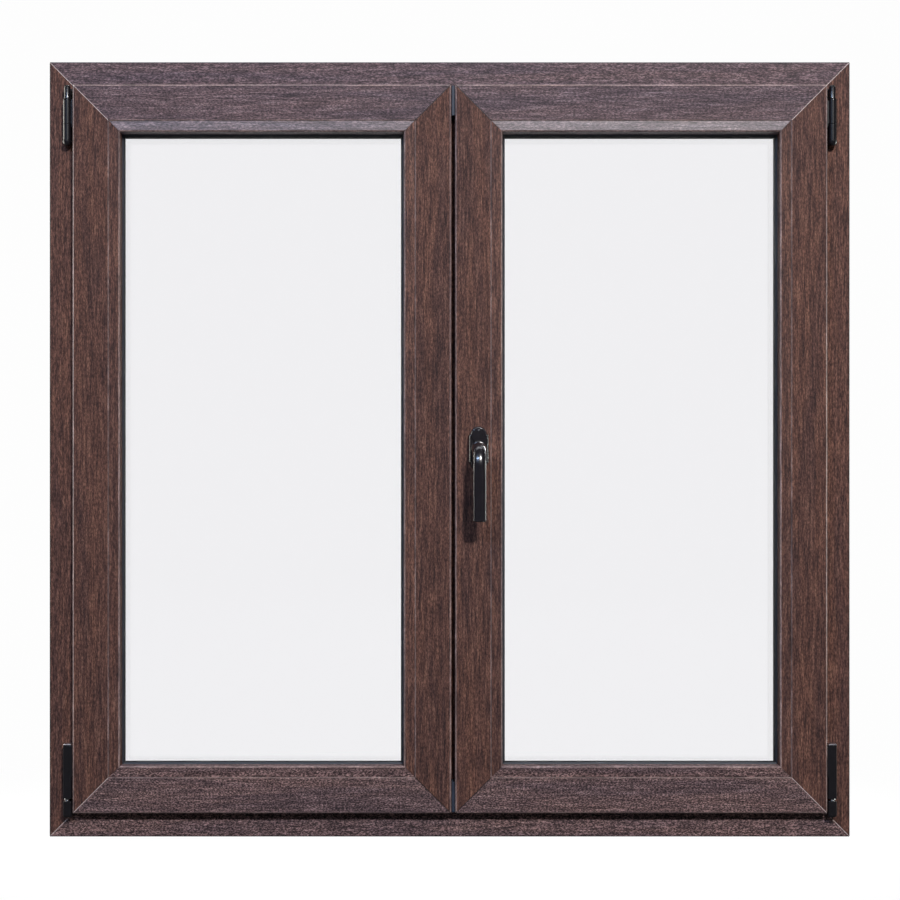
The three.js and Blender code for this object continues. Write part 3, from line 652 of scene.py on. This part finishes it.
# ---- Seals ----------------------------------------------------------------------------------------
def seal_ring(name, corners, ring, material, body, node):
    """A closed seal of one section running round a ring, with mitred corners."""
    points = rounded(corners, steps=3)
    bm = bmesh.new()
    x0, x1, z0, z1 = ring
    turns = [(x0, z0, 1, 1), (x1, z0, -1, 1), (x1, z1, -1, -1), (x0, z1, 1, -1)]
    rows = []
    for x, z, sx, sz in turns:
        rows.append([bm.verts.new((x + sx * p.x * MM, p.y * MM, z + sz * p.x * MM)) for p in points])
    count = len(points)
    for i in range(4):
        near = rows[i]
        far = rows[(i + 1) % 4]
        for j in range(count):
            k = (j + 1) % count
            bm.faces.new((near[j], near[k], far[k], far[j]))
    piece = new_object(name, bm, [material], smooth_angle=50)
    place(piece, body, "rubber", node)


FRAME_SEAL = [
    (61.2, 19.8, 0),
    (61.2, 18.4, 0.4),
    (60.9, 16.9, 0.8),
    (62.2, 15.5, 0.8),
    (65.4, 15.5, 0.9),
    (66.0, 17.6, 0.8),
    (65.2, 18.6, 0.3),
    (65.6, 19.8, 0),
]
SASH_SEAL = [
    (2.2, -37.7, 0),
    (2.2, -36.5, 0.4),
    (1.6, -35.4, 0.4),
    (4.0, -35.4, 0.6),
    (7.0, -35.9, 0.5),
    (7.0, -37.7, 0),
]
GLAZING_SEAL = [
    (64.2, -4.3, 0),
    (64.2, -6.7, 0.3),
    (72.0, -6.7, 0.4),
    (72.0, -5.6, 0.5),
    (69.0, -4.3, 0.5),
]
seal_ring("frame_seal_look", FRAME_SEAL, FRAME_RING, RUBBER, "frame", "frame_seal")
for hand, ring in SASH_RINGS.items():
    body = hand + "_sash"
    seal_ring(hand + "_sash_seal_look", SASH_SEAL, ring, RUBBER, body, hand + "_sash_seal")
    seal_ring(hand + "_glazing_seal_look", GLAZING_SEAL, ring, RUBBER, body, hand + "_glazing_seal")


# ---- CAD nodes whose shape is right ---------------------------------------------------------------
def dress(node, material, bevel=0.0):
    """Keeps the CAD node, with a finish and softened edges."""
    piece = NODES[node]
    piece.data.materials.clear()
    piece.data.materials.append(material)
    for polygon in piece.data.polygons:
        polygon.material_index = 0
    if bevel:
        modifier = piece.modifiers.new("edges", "BEVEL")
        modifier.width = bevel * MM
        modifier.segments = 2
        modifier.limit_method = "ANGLE"
        modifier.angle_limit = math.radians(35)
        modifier.harden_normals = False
        keep_faces_flat(piece)


for hand in ("left", "right"):
    dress(hand + "_room_pane", GLASS, 0.4)
    dress(hand + "_outer_pane", GLASS, 0.4)
    dress(hand + "_spacer_bar", SPACER, 0.5)
for node in ("meeting_cap_top", "meeting_cap_bottom"):
    dress(node, CAP, 0.5)
dress("meeting_seal", RUBBER, 0.8)
for node in ("lock_faceplate", "lock_gearbox", "drive_rail", "lock_keep_upper", "lock_keep_lower"):
    dress(node, ZINC, 0.25)
for node in ("top_bolt", "bottom_bolt", "bolt_keep_top", "bolt_keep_bottom"):
    dress(node, ZINC, 0.3)
dress("lock_pinion", STEEL, 0.15)
dress("handle_spindle", STEEL, 0.3)


# ---- Meeting profile ------------------------------------------------------------------------------
def meeting_profile():
    """The cover profile on the passive sash: a web between the sashes and two wings outdoors."""
    low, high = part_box("meeting_profile")
    left, right = low.x / MM, high.x / MM
    web_left, web_right = -17.7, 16.0
    groove = 5.0  # the bottom of the groove that the lock's keeps sit in
    seal_slot = (28.6, 34.4)
    outline = rounded(
        [
            (web_left, FRAME_ROOM, 1.0),
            (web_right, FRAME_ROOM, 1.0),
            (web_right, -31, 0.3),
            (groove, -31, 0.3),
            (groove, -19, 0.3),
            (web_right, -19, 0.3),
            (web_right, 20, 0.6),
            (seal_slot[0], 20, 0.2),
            (seal_slot[0], 22.2, 0),
            (seal_slot[1], 22.2, 0),
            (seal_slot[1], 20, 0.2),
            (right, 20, 0.5),
            (right, FRAME_OUT, 4.0),
            (left, FRAME_OUT, 4.0),
            (left, SASH_OUT + 0.3, 0.8),
            (web_left, SASH_OUT + 0.3, 0.4),
        ]
    )
    bm = bmesh.new()

    def paint(i, j):
        middle = face_middle(outline, j)
        on_room_face = middle.y < FRAME_ROOM + 1
        on_outdoor_edge = middle.y > 20.1 and abs(middle.x) > 35
        on_outdoor_face = middle.y > 30
        return 0 if on_room_face or on_outdoor_edge or on_outdoor_face else 1

    loft(bm, [[Vector((p.x * MM, p.y * MM, z)) for p in outline] for z in (low.z, high.z)], paint)
    piece = new_object("meeting_profile_look", bm, [WOOD_Z, CORE])
    place(piece, "left_sash", "laminate", "meeting_profile")


def cap_nose(end):
    """The end cap's nose, which fills the gap between the sashes flush with their faces."""
    low, high = (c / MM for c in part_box("meeting_cap_" + end))
    clearance, overlap = 0.5, 2.0
    gap_low = SASH_RINGS["left"][1] / MM + clearance
    gap_high = SASH_RINGS["right"][0] / MM - clearance
    z0, z1 = (low.z + overlap, high.z) if end == "top" else (low.z, high.z - overlap)
    bm = bmesh.new()
    soft_box(bm, gap_low, gap_high, SASH_ROOM + 2.4, low.y + overlap, z0, z1, 1.2, 0.5)
    place(new_object(f"meeting_cap_{end}_nose", bm, [CAP]), "left_sash", "meeting_cap")


meeting_profile()
for end in ("top", "bottom"):
    cap_nose(end)


# ---- Hinges ---------------------------------------------------------------------------------------
HINGE_Y = JOINTS["right_sash_turn"]["pos_m"][1] / MM
FLANGE_EDGE = SASH_RINGS["right"][1] / MM + 0.25  # just clear of the sash's hinge edge
PLATE_BACK = FRAME_ROOM - 0.3  # just clear of the frame's face
BARREL = 6.5  # radius of the top hinge's barrel and knuckle
COVER_SHIFT = 1.4  # the bottom hinge's covers reach this far towards the sash
SQUARE = [(-1, -1), (1, -1), (1, 1), (-1, 1)]


def hinge_side(hand):
    """The sign of the hinge's side and its axis' x."""
    sign = 1 if hand == "right" else -1
    return sign, sign * abs(JOINTS["right_sash_turn"]["pos_m"][0]) / MM


def heights_of(node):
    """The lowest and highest z of a CAD node."""
    low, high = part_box(node)
    return low.z / MM, high.z / MM


def top_bearing(node, hand, knuckle_low, knuckle_high):
    """The barrel below the strap's knuckle and the slimmer sleeve above it, both on a plate on the frame."""
    x = hinge_side(hand)[1]
    low, high = heights_of(node)
    foot = knuckle_high + 0.25
    sleeve, rim = 5.0, 0.6
    profile = [(0.05, foot), (BARREL - 0.3, foot), (BARREL, foot + 0.3)]
    profile += [(BARREL, knuckle_high + 1.6), (sleeve, knuckle_high + 4.2)]
    for a in quarter(0, 90, 4):
        profile.append((sleeve - rim + rim * math.cos(a), high - rim + rim * math.sin(a)))
    bm = bmesh.new()
    turned(bm, x, HINGE_Y, soft_cylinder(low, knuckle_low - 0.25, BARREL, 0.3))
    turned(bm, x, HINGE_Y, profile + [(0.05, high)])
    soft_box(bm, x - 4.6, x + 4.6, HINGE_Y + 2, PLATE_BACK, low + 0.3, knuckle_low - 0.6)
    soft_box(bm, x - 3.6, x + 3.6, HINGE_Y + 2, PLATE_BACK, knuckle_high + 0.6, high - 0.3)
    soft_box(bm, x - 6.4, x + 6.4, FRAME_ROOM - 2, PLATE_BACK, low, high, 1.0, 0.5)
    place(new_object(node + "_look", bm, [HINGE]), "frame", "hinge_black", node)


def top_pin(node, hand, bearing_low, bearing_high):
    """The pin's visible ends: a ball under the bearing and a dome on top of it."""
    x = hinge_side(hand)[1]
    ball = 7.2
    middle = bearing_low - 1.3
    profile = [(max(0.05, ball * math.cos(a)), middle + 7.9 * math.sin(a)) for a in quarter(-90, 0, 12)]
    profile += [(ball, bearing_low - 0.9), (ball - 0.5, bearing_low - 0.3), (0.05, bearing_low - 0.3)]
    dome = [(0.05, bearing_high + 0.3), (4.3, bearing_high + 0.3)]
    for a in quarter(0, 90, 8):
        dome.append((max(0.05, 4.6 * math.cos(a)), bearing_high + 0.9 + 2.4 * math.sin(a)))
    bm = bmesh.new()
    turned(bm, x, HINGE_Y, profile)
    turned(bm, x, HINGE_Y, dome)
    place(new_object(node + "_look", bm, [HINGE]), "frame", "hinge_black", node)


def top_strap(node, hand, knuckle_low):
    """The knuckle, the arm to the sash and the leaf that lies along the sash's edge."""
    sign, x = hinge_side(hand)
    low, high = heights_of(node)
    near = sorted((sign * FLANGE_EDGE, sign * (FLANGE_EDGE + 2.2)))
    reach = sorted((sign * FLANGE_EDGE, x))
    bm = bmesh.new()
    turned(bm, x, HINGE_Y, soft_cylinder(knuckle_low, high, BARREL, 0.3))
    soft_box(bm, *near, SASH_ROOM + 5, -40.2, low + 0.4, high - 0.3, 0.4, 0.3)
    soft_box(bm, *reach, HINGE_Y - 2.6, HINGE_Y + 2.8, knuckle_low + 0.6, high - 0.6, 0.5, 0.4)
    place(new_object(node + "_look", bm, [HINGE]), hand + "_sash", "hinge_black", node)


def top_hinge(hand):
    """Bearing and pin on the frame, and the strap on the sash."""
    bearing, pin, strap = (f"{hand}_top_hinge_{part}" for part in ("bearing", "pin", "strap"))
    strap_low, strap_high = heights_of(strap)
    knuckle_low = strap_low + 6
    top_bearing(bearing, hand, knuckle_low, strap_high)
    top_pin(pin, hand, *heights_of(bearing))
    top_strap(strap, hand, knuckle_low)


def bottom_bearing(node, hand, joint):
    """A square cover with a rounded foot, on a block on the frame. joint is its top."""
    sign, x = hinge_side(hand)
    low = heights_of(node)[0]
    half, corner = 7.2, 3.2
    outline = rounded([(u * half, v * half, corner) for u, v in SQUARE])
    levels = [(low + 5.0 - 5.0 * math.sin(a), 3.4 * (1 - math.cos(a))) for a in quarter(90, 0, 6)]
    levels += [(joint - 0.7, 0.0), (joint - 0.2, 0.2), (joint, 0.7)]
    bm = bmesh.new()
    middle = x - sign * COVER_SHIFT
    stacked(bm, outline, levels, lambda u, v, h: Vector((middle + u, HINGE_Y + v, h)) * MM)
    soft_box(bm, x - 5.4, x + 5.4, HINGE_Y + 4, PLATE_BACK, low + 2.5, joint - 1, 1.0, 0.6)
    place(new_object(node + "_look", bm, [HINGE]), "frame", "hinge_black", node)


def bottom_pin(hand, joint, strap_low):
    """The bright pin: a ball in the gap between the covers, and a shank up into the strap's barrel."""
    middle = (joint + strap_low) / 2
    ball, shank = 4.6, 3.0
    profile = [(0.05, joint - 1.0), (shank, joint - 1.0), (shank, joint - 0.6)]
    profile += [(ball * math.cos(a), middle + ball * math.sin(a)) for a in quarter(-32, 32, 8)]
    profile += [(shank, strap_low), (shank, strap_low + 30), (0.05, strap_low + 30)]
    bm = bmesh.new()
    turned(bm, hinge_side(hand)[1], HINGE_Y, profile)
    place(new_object(hand + "_bottom_hinge_pin_look", bm, [HINGE_PIN]), "frame", "steel")


def bottom_lid(hand, strap_high):
    """The satin lid on the strap's cover."""
    sign, x = hinge_side(hand)
    half, corner = 7.2, 2.4
    outline = rounded([(u * half, v * half, corner) for u, v in SQUARE])
    levels = [(-2.4, 0.3), (-2.1, 0.0), (-1.5, 0.0), (-0.3, 1.2), (0.0, 1.8)]
    bm = bmesh.new()
    middle = x - sign * COVER_SHIFT
    stacked(bm, outline, levels, lambda u, v, h: Vector((middle + u, HINGE_Y + v, strap_high + h)) * MM)
    place(new_object(hand + "_bottom_hinge_lid_look", bm, [HINGE_LID]), hand + "_sash", "steel")


def bottom_strap(node, hand):
    """The strap's square cover and its arm to the sash."""
    sign, x = hinge_side(hand)
    low, high = heights_of(node)
    middle, half = x - sign * COVER_SHIFT, 7.0
    reach = sorted((sign * FLANGE_EDGE, x))
    bm = bmesh.new()
    soft_box(bm, middle - half, middle + half, HINGE_Y - half, HINGE_Y + half, low, high - 2.6, 2.2, 0.5)
    soft_box(bm, *reach, HINGE_Y - 6.8, HINGE_Y + 3.8, low + 34, high - 3.0, 0.6, 0.5)
    place(new_object(node + "_look", bm, [HINGE]), hand + "_sash", "hinge_black", node)


def bottom_hinge(hand):
    """Bearing and pin on the frame, and the lid and strap on the sash."""
    bearing, strap = (f"{hand}_bottom_hinge_{part}" for part in ("bearing", "strap"))
    strap_low, strap_high = heights_of(strap)
    joint = strap_low - 4
    bottom_bearing(bearing, hand, joint)
    bottom_pin(hand, joint, strap_low)
    bottom_lid(hand, strap_high)
    bottom_strap(strap, hand)


for hand in ("left", "right"):
    top_hinge(hand)
    bottom_hinge(hand)


# ---- Handle ---------------------------------------------------------------------------------------
HANDLE_X = JOINTS["handle_turn"]["pos_m"][0] / MM
HANDLE_Z = JOINTS["handle_turn"]["pos_m"][2] / MM
ROSETTE_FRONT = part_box("handle_rosette")[0].y / MM
ROSETTE_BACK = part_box("handle_rosette")[1].y / MM
LEVER_LOW, LEVER_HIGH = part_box("handle_lever")


def rosette():
    """A chamfered plate: straight sides that end in small shoulders, and round ends."""
    side, straight, bow = 15.4, 21.6, 12.9
    half = [(side, -straight, 1.5), (side, straight, 1.5)]
    half += [(bow * math.cos(a), straight + bow * math.sin(a), 0) for a in quarter(4, 176, 30)]
    outline = rounded(half + [(-u, -v, r) for u, v, r in half])
    chamfer = 2.0
    levels = [(ROSETTE_BACK, 0.0), (ROSETTE_BACK - 0.5, 0.0), (ROSETTE_FRONT + chamfer + 0.8, 0.15)]
    levels += [(ROSETTE_FRONT + chamfer + 0.2, 0.35), (ROSETTE_FRONT + 0.35, chamfer)]
    levels.append((ROSETTE_FRONT, chamfer + 0.7))
    bm = bmesh.new()
    stacked(bm, outline, levels, lambda u, v, h: Vector((HANDLE_X + u, h, HANDLE_Z + v)) * MM)
    plate = new_object("handle_rosette_look", bm, [BRONZE], 50)
    place(plate, "right_sash", "handle_bronze", "handle_rosette")


def rosette_pip():
    """The small raised ring near the rosette's upper end."""
    up = 27.8  # above the handle's axis
    rings = []
    for radius, depth in ((1.5, 0.02), (1.5, 0.2), (1.0, 0.32), (0.8, 0.1), (0.1, 0.05)):
        ring = []
        for a in around(20):
            x = HANDLE_X + radius * math.cos(a)
            z = HANDLE_Z + (up + radius * math.sin(a))
            ring.append(Vector((x, ROSETTE_FRONT - depth, z)) * MM)
        rings.append(ring)
    bm = bmesh.new()
    loft(bm, rings)
    place(new_object("handle_rosette_pip", bm, [BRONZE]), "right_sash", "handle_bronze")


def grip_section(width, thick, square):
    """A closed section, from an ellipse at square 0 to flat sides with soft corners at square 1."""
    power = 1 / (1 + 0.65 * square)
    section = []
    for k in range(64):
        a = 2 * math.pi * (k + 0.5) / 64
        u = math.copysign(abs(math.cos(a)) ** power, math.cos(a))
        v = math.copysign(abs(math.sin(a)) ** power, math.sin(a))
        section.append((width * u, thick * v))
    return section


def smooth(t):
    """Eases from 0 to 1."""
    t = min(1.0, max(0.0, t))
    return t * t * (3 - 2 * t)


def lever_stations():
    """Sections along the lever: (middle, direction, half width, half thickness, 0 round to 1 flat)."""
    front = LEVER_HIGH.y / MM
    grip_y = LEVER_LOW.y / MM + 6.6
    tip_z = LEVER_LOW.z / MM
    bend, tip = 28.0, 3.0  # radii of the bend and of the rounded tip
    neck, waist, grip_half, grip_thick = 11.3, 10.1, 9.8, 6.4
    grip_top = HANDLE_Z - bend
    down = Vector((0, -1))
    stations = []
    collar = [(0.0, 11.0), (0.5, 11.7), (2.0, 11.7), (2.5, 11.2)]
    collar += [(2.7, 10.7), (3.1, 10.7), (3.4, neck - 0.1), (3.9, neck)]
    for ahead, radius in collar:
        stations.append((Vector((front - ahead, HANDLE_Z)), Vector((-1, 0)), radius, radius, 0.0))
    for a in quarter(0, 90, 24)[1:]:
        t = a / math.radians(90)
        middle = Vector((grip_y + bend, grip_top)) + Vector((-math.sin(a), math.cos(a))) * bend
        width = neck + (waist - neck) * smooth(t)
        thick = neck + (grip_thick - neck) * smooth(t)
        stations.append((middle, Vector((-math.cos(a), -math.sin(a))), width, thick, 0.0))
    for k in range(1, 25):
        t = k / 24
        z = grip_top + (tip_z + tip - grip_top) * t
        width = waist + (grip_half - waist) * smooth(t)
        stations.append((Vector((grip_y, z)), down, width, grip_thick - 0.5 * t, smooth(4 * t)))
    for a in quarter(0, 80, 5)[1:]:
        shrink = tip * (1 - math.cos(a))
        middle = Vector((grip_y, tip_z + tip - tip * math.sin(a)))
        stations.append((middle, down, grip_half - shrink, grip_thick - 0.5 - shrink, 1.0))
    return stations


def lever():
    """A round neck that sweeps down from its collar into a flat grip with soft edges."""
    rings = []
    for middle, ahead, width, thick, square in lever_stations():
        across = Vector((ahead.y, -ahead.x))
        ring = []
        for u, v in grip_section(width, thick, square):
            spot = middle + across * v
            ring.append(Vector((HANDLE_X + u, spot.x, spot.y)) * MM)
        rings.append(ring)
    bm = bmesh.new()
    loft(bm, rings)
    place(new_object("handle_lever_look", bm, [BRONZE], 40), "handle", "handle_bronze", "handle_lever")


rosette()
rosette_pip()
lever()


# ---- Screws ---------------------------------------------------------------------------------------
CROSS_ARM, CROSS_HALF = 1.75, 0.42  # half-length and half-width of a screw's cross recess
HEAD_RADIUS = 3.3


def cross_radius(a):
    """Distance from the middle of a cross to its outline, at an angle."""
    turn = abs((a + math.pi / 4) % (math.pi / 2) - math.pi / 4)
    return min(CROSS_ARM / math.cos(turn), CROSS_HALF / max(math.sin(turn), 0.01))


def screws(name, body, centres, outward):
    """Countersunk heads with a cross recess. outward is the direction that the heads face."""
    outward = Vector(outward)
    across = outward.orthogonal().normalized()
    up = outward.cross(across)
    levels = [(HEAD_RADIUS, -0.2), (HEAD_RADIUS, 0.12), (HEAD_RADIUS - 0.5, 0.34), (CROSS_ARM + 0.3, 0.42)]
    bm = bmesh.new()
    for centre in centres:
        rings = []
        for radius, height in levels + [(None, 0.42), (None, 0.02)]:
            ring = []
            for a in around(48):
                r = cross_radius(a) if radius is None else radius
                spoke = across * r * math.cos(a) + up * r * math.sin(a)
                ring.append((Vector(centre) + spoke + outward * height) * MM)
            rings.append(ring)
        loft(bm, rings)
    place(new_object(name, bm, [ZINC], 40), body, "zinc")


FACE_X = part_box("lock_faceplate")[0].x / MM
GROOVE_Y = (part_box("lock_faceplate")[0].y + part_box("lock_faceplate")[1].y) / 2 / MM
FACEPLATE_SCREWS = (168, 300, 450, 760, 910, 1042)
screws("lock_faceplate_screws", "right_sash", [(FACE_X, GROOVE_Y, z) for z in FACEPLATE_SCREWS], (-1, 0, 0))
for level in ("upper", "lower"):
    low, high = (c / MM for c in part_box("lock_keep_" + level))
    plate = low.x + 2.0  # the keep's plate is 2 mm thick
    heights = (low.z + 6, high.z - 6)
    screws(f"lock_keep_{level}_screws", "left_sash", [(plate, GROOVE_Y, z) for z in heights], (1, 0, 0))
for end, up in (("top", -1), ("bottom", 1)):
    low, high = (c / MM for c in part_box("bolt_keep_" + end))
    face = low.z if end == "top" else high.z
    sides = (low.x + 6.5, high.x - 6.5)
    screws(f"bolt_keep_{end}_screws", "frame", [(x, GROOVE_Y, face) for x in sides], (0, 0, up))


# ---- Drain caps -----------------------------------------------------------------------------------
def drain_cap(node):
    """A hooded cap: a domed plate with a lower mouth."""
    low, high = (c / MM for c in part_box(node))
    x, z = (low.x + high.x) / 2, (low.z + high.z) / 2
    half_x, half_z = (high.x - low.x) / 2, (high.z - low.z) / 2
    lower = [(-half_x, -half_z, 3), (half_x, -half_z, 3)]
    upper = [(half_x, half_z, 5), (-half_x, half_z, 5)]
    outline = rounded(lower + upper, 6)
    levels = [(low.y, 0), (low.y + 1.2, 0)]
    for a in quarter(10, 90, 6):
        levels.append((low.y + 1.2 + 3.0 * math.sin(a), 3.2 * (1 - math.cos(a))))
    bm = bmesh.new()
    stacked(bm, outline, levels, lambda u, v, h: Vector((x + u, h, z + v)) * MM)
    soft_box(bm, x - 14, x + 14, high.y - 0.35, high.y - 0.05, z - 4.6, z - 3.4, 0.1, 0.1)
    place(new_object(node + "_look", bm, [DRAIN]), "frame", "drain_cap", node)


drain_cap("drain_cap_left")
drain_cap("drain_cap_right")


# ---- Stage, light and camera ----------------------------------------------------------------------
SEEN_WHITE = 0.985  # the surroundings as the camera sees them


def grey(value):
    return (value, value, value, 1)


def add_node(tree, kind, **values):
    """A new node with its input sockets set by name."""
    node = tree.nodes.new(kind)
    for name, value in values.items():
        node.inputs[name].default_value = value
    return node


def seen_white(tree, plain, lit):
    """Mixes two shaders: one where the view or the view through glass meets it, and one for its light."""
    path = add_node(tree, "ShaderNodeLightPath")
    both = add_node(tree, "ShaderNodeMath")
    both.operation = "MAXIMUM"
    tree.links.new(path.outputs["Is Camera Ray"], both.inputs[0])
    tree.links.new(path.outputs["Is Transmission Ray"], both.inputs[1])
    mix = add_node(tree, "ShaderNodeMixShader")
    tree.links.new(both.outputs[0], mix.inputs["Fac"])
    tree.links.new(lit, mix.inputs[1])
    tree.links.new(plain, mix.inputs[2])
    return mix.outputs[0]


def world():
    """White where it is seen, and a faint cool fill as a light."""
    made = bpy.data.worlds.new("studio")
    made.use_nodes = True
    tree = made.node_tree
    tree.nodes.clear()
    seen = add_node(tree, "ShaderNodeBackground", Color=grey(SEEN_WHITE))
    lit = add_node(tree, "ShaderNodeBackground", Color=(0.93, 0.96, 1.0, 1), Strength=0.05)
    output = add_node(tree, "ShaderNodeOutputWorld")
    tree.links.new(seen_white(tree, seen.outputs[0], lit.outputs[0]), output.inputs["Surface"])
    scene.world = made


def floor():
    """A pale floor: it takes contact shadows near the window and fades into the white surroundings."""
    bm = bmesh.new()
    half = 14.0
    corners = [(-half, -half), (half, -half), (half, half), (-half, half)]
    bm.faces.new([bm.verts.new((x, y, -0.0005)) for x, y in corners])
    material = bpy.data.materials.new("pale_floor")
    material.use_nodes = True
    tree = material.node_tree
    tree.nodes.clear()
    coordinates = add_node(tree, "ShaderNodeTexCoord")
    mapping = add_node(tree, "ShaderNodeMapping", Scale=(0.85, 1.25, 1))
    tree.links.new(coordinates.outputs["Object"], mapping.inputs["Vector"])
    near = add_node(tree, "ShaderNodeTexGradient")
    near.gradient_type = "QUADRATIC_SPHERE"
    tree.links.new(mapping.outputs["Vector"], near.inputs["Vector"])
    diffuse = add_node(tree, "ShaderNodeBsdfDiffuse", Color=grey(0.22))
    base = add_node(tree, "ShaderNodeEmission", Strength=SEEN_WHITE - 0.11)
    shaded = add_node(tree, "ShaderNodeAddShader")
    tree.links.new(diffuse.outputs[0], shaded.inputs[0])
    tree.links.new(base.outputs[0], shaded.inputs[1])
    white = add_node(tree, "ShaderNodeEmission", Strength=SEEN_WHITE)
    seen = add_node(tree, "ShaderNodeMixShader")
    tree.links.new(near.outputs["Fac"], seen.inputs["Fac"])
    tree.links.new(white.outputs[0], seen.inputs[1])
    tree.links.new(shaded.outputs[0], seen.inputs[2])
    pale = add_node(tree, "ShaderNodeBsdfDiffuse", Color=grey(0.10))
    output = add_node(tree, "ShaderNodeOutputMaterial")
    tree.links.new(seen_white(tree, seen.outputs[0], pale.outputs[0]), output.inputs["Surface"])
    piece = new_object("floor", bm, [material])


def area_light(name, position, target, size, radiance, colour=(1, 1, 1)):
    """A softbox that faces a target. radiance is its brightness, whatever its size."""
    data = bpy.data.lights.new(name, "AREA")
    data.shape = "RECTANGLE"
    data.size, data.size_y = size
    data.energy = radiance * math.pi * size[0] * size[1]
    data.color = colour
    lamp = bpy.data.objects.new(name, data)
    lamp.location = position
    lamp.rotation_euler = (Vector(target) - Vector(position)).to_track_quat("-Z", "Y").to_euler()
    lamp.visible_camera = False
    scene.collection.objects.link(lamp)


def lights():
    """A small key from above on the right, panels behind on each side, and soft light from above."""
    middle = HEIGHT / 2
    area_light("key", (1.25, -4.60, 3.55), (0, 0, middle), (0.5, 0.5), 330, (1.0, 0.985, 0.975))
    area_light("side_left", (-2.7, 0.70, 1.35), (0, 0.70, 1.35), (2.0, 2.3), 5.5, (1.0, 0.96, 0.88))
    area_light("side_right", (2.7, 0.70, 0.65), (0, 0.70, 0.65), (2.0, 1.2), 5.0, (0.95, 1.0, 0.93))
    for sign in (-1, 1):
        area_light(f"back_{sign}", (sign * 1.8, 2.6, 2.2), (0, 0, middle), (1.4, 1.4), 9.0)
    area_light("above", (0, 0.40, 3.0), (0, 0.401, 0), (2.6, 1.5), 2.6, (0.94, 0.96, 1.0))
    area_light("sky", (-2.0, -4.60, 3.55), (0, 0, middle), (2.8, 0.45), 30.0, (0.50, 0.68, 1.0))


def camera():
    """Square-on, a little below and left of the middle, with a small shift that centres the window."""
    distance = 2.4
    view_width = WIDTH * 1.1247
    shift_x, shift_y = 0.04, 0.06
    centre_x, centre_z = 0.0005, HEIGHT / 2 - 0.001
    data = bpy.data.cameras.new("camera")
    data.sensor_width = 36.0
    data.lens = data.sensor_width * distance / view_width
    data.shift_x = shift_x
    data.shift_y = shift_y
    eye = bpy.data.objects.new("camera", data)
    eye.location = (
        centre_x - shift_x * view_width,
        FRAME_ROOM * MM - distance,
        centre_z - shift_y * view_width,
    )
    eye.rotation_euler = (math.pi / 2, 0, 0)
    scene.collection.objects.link(eye)
    scene.camera = eye


world()
floor()
lights()
camera()
scene.view_settings.view_transform = "Standard"
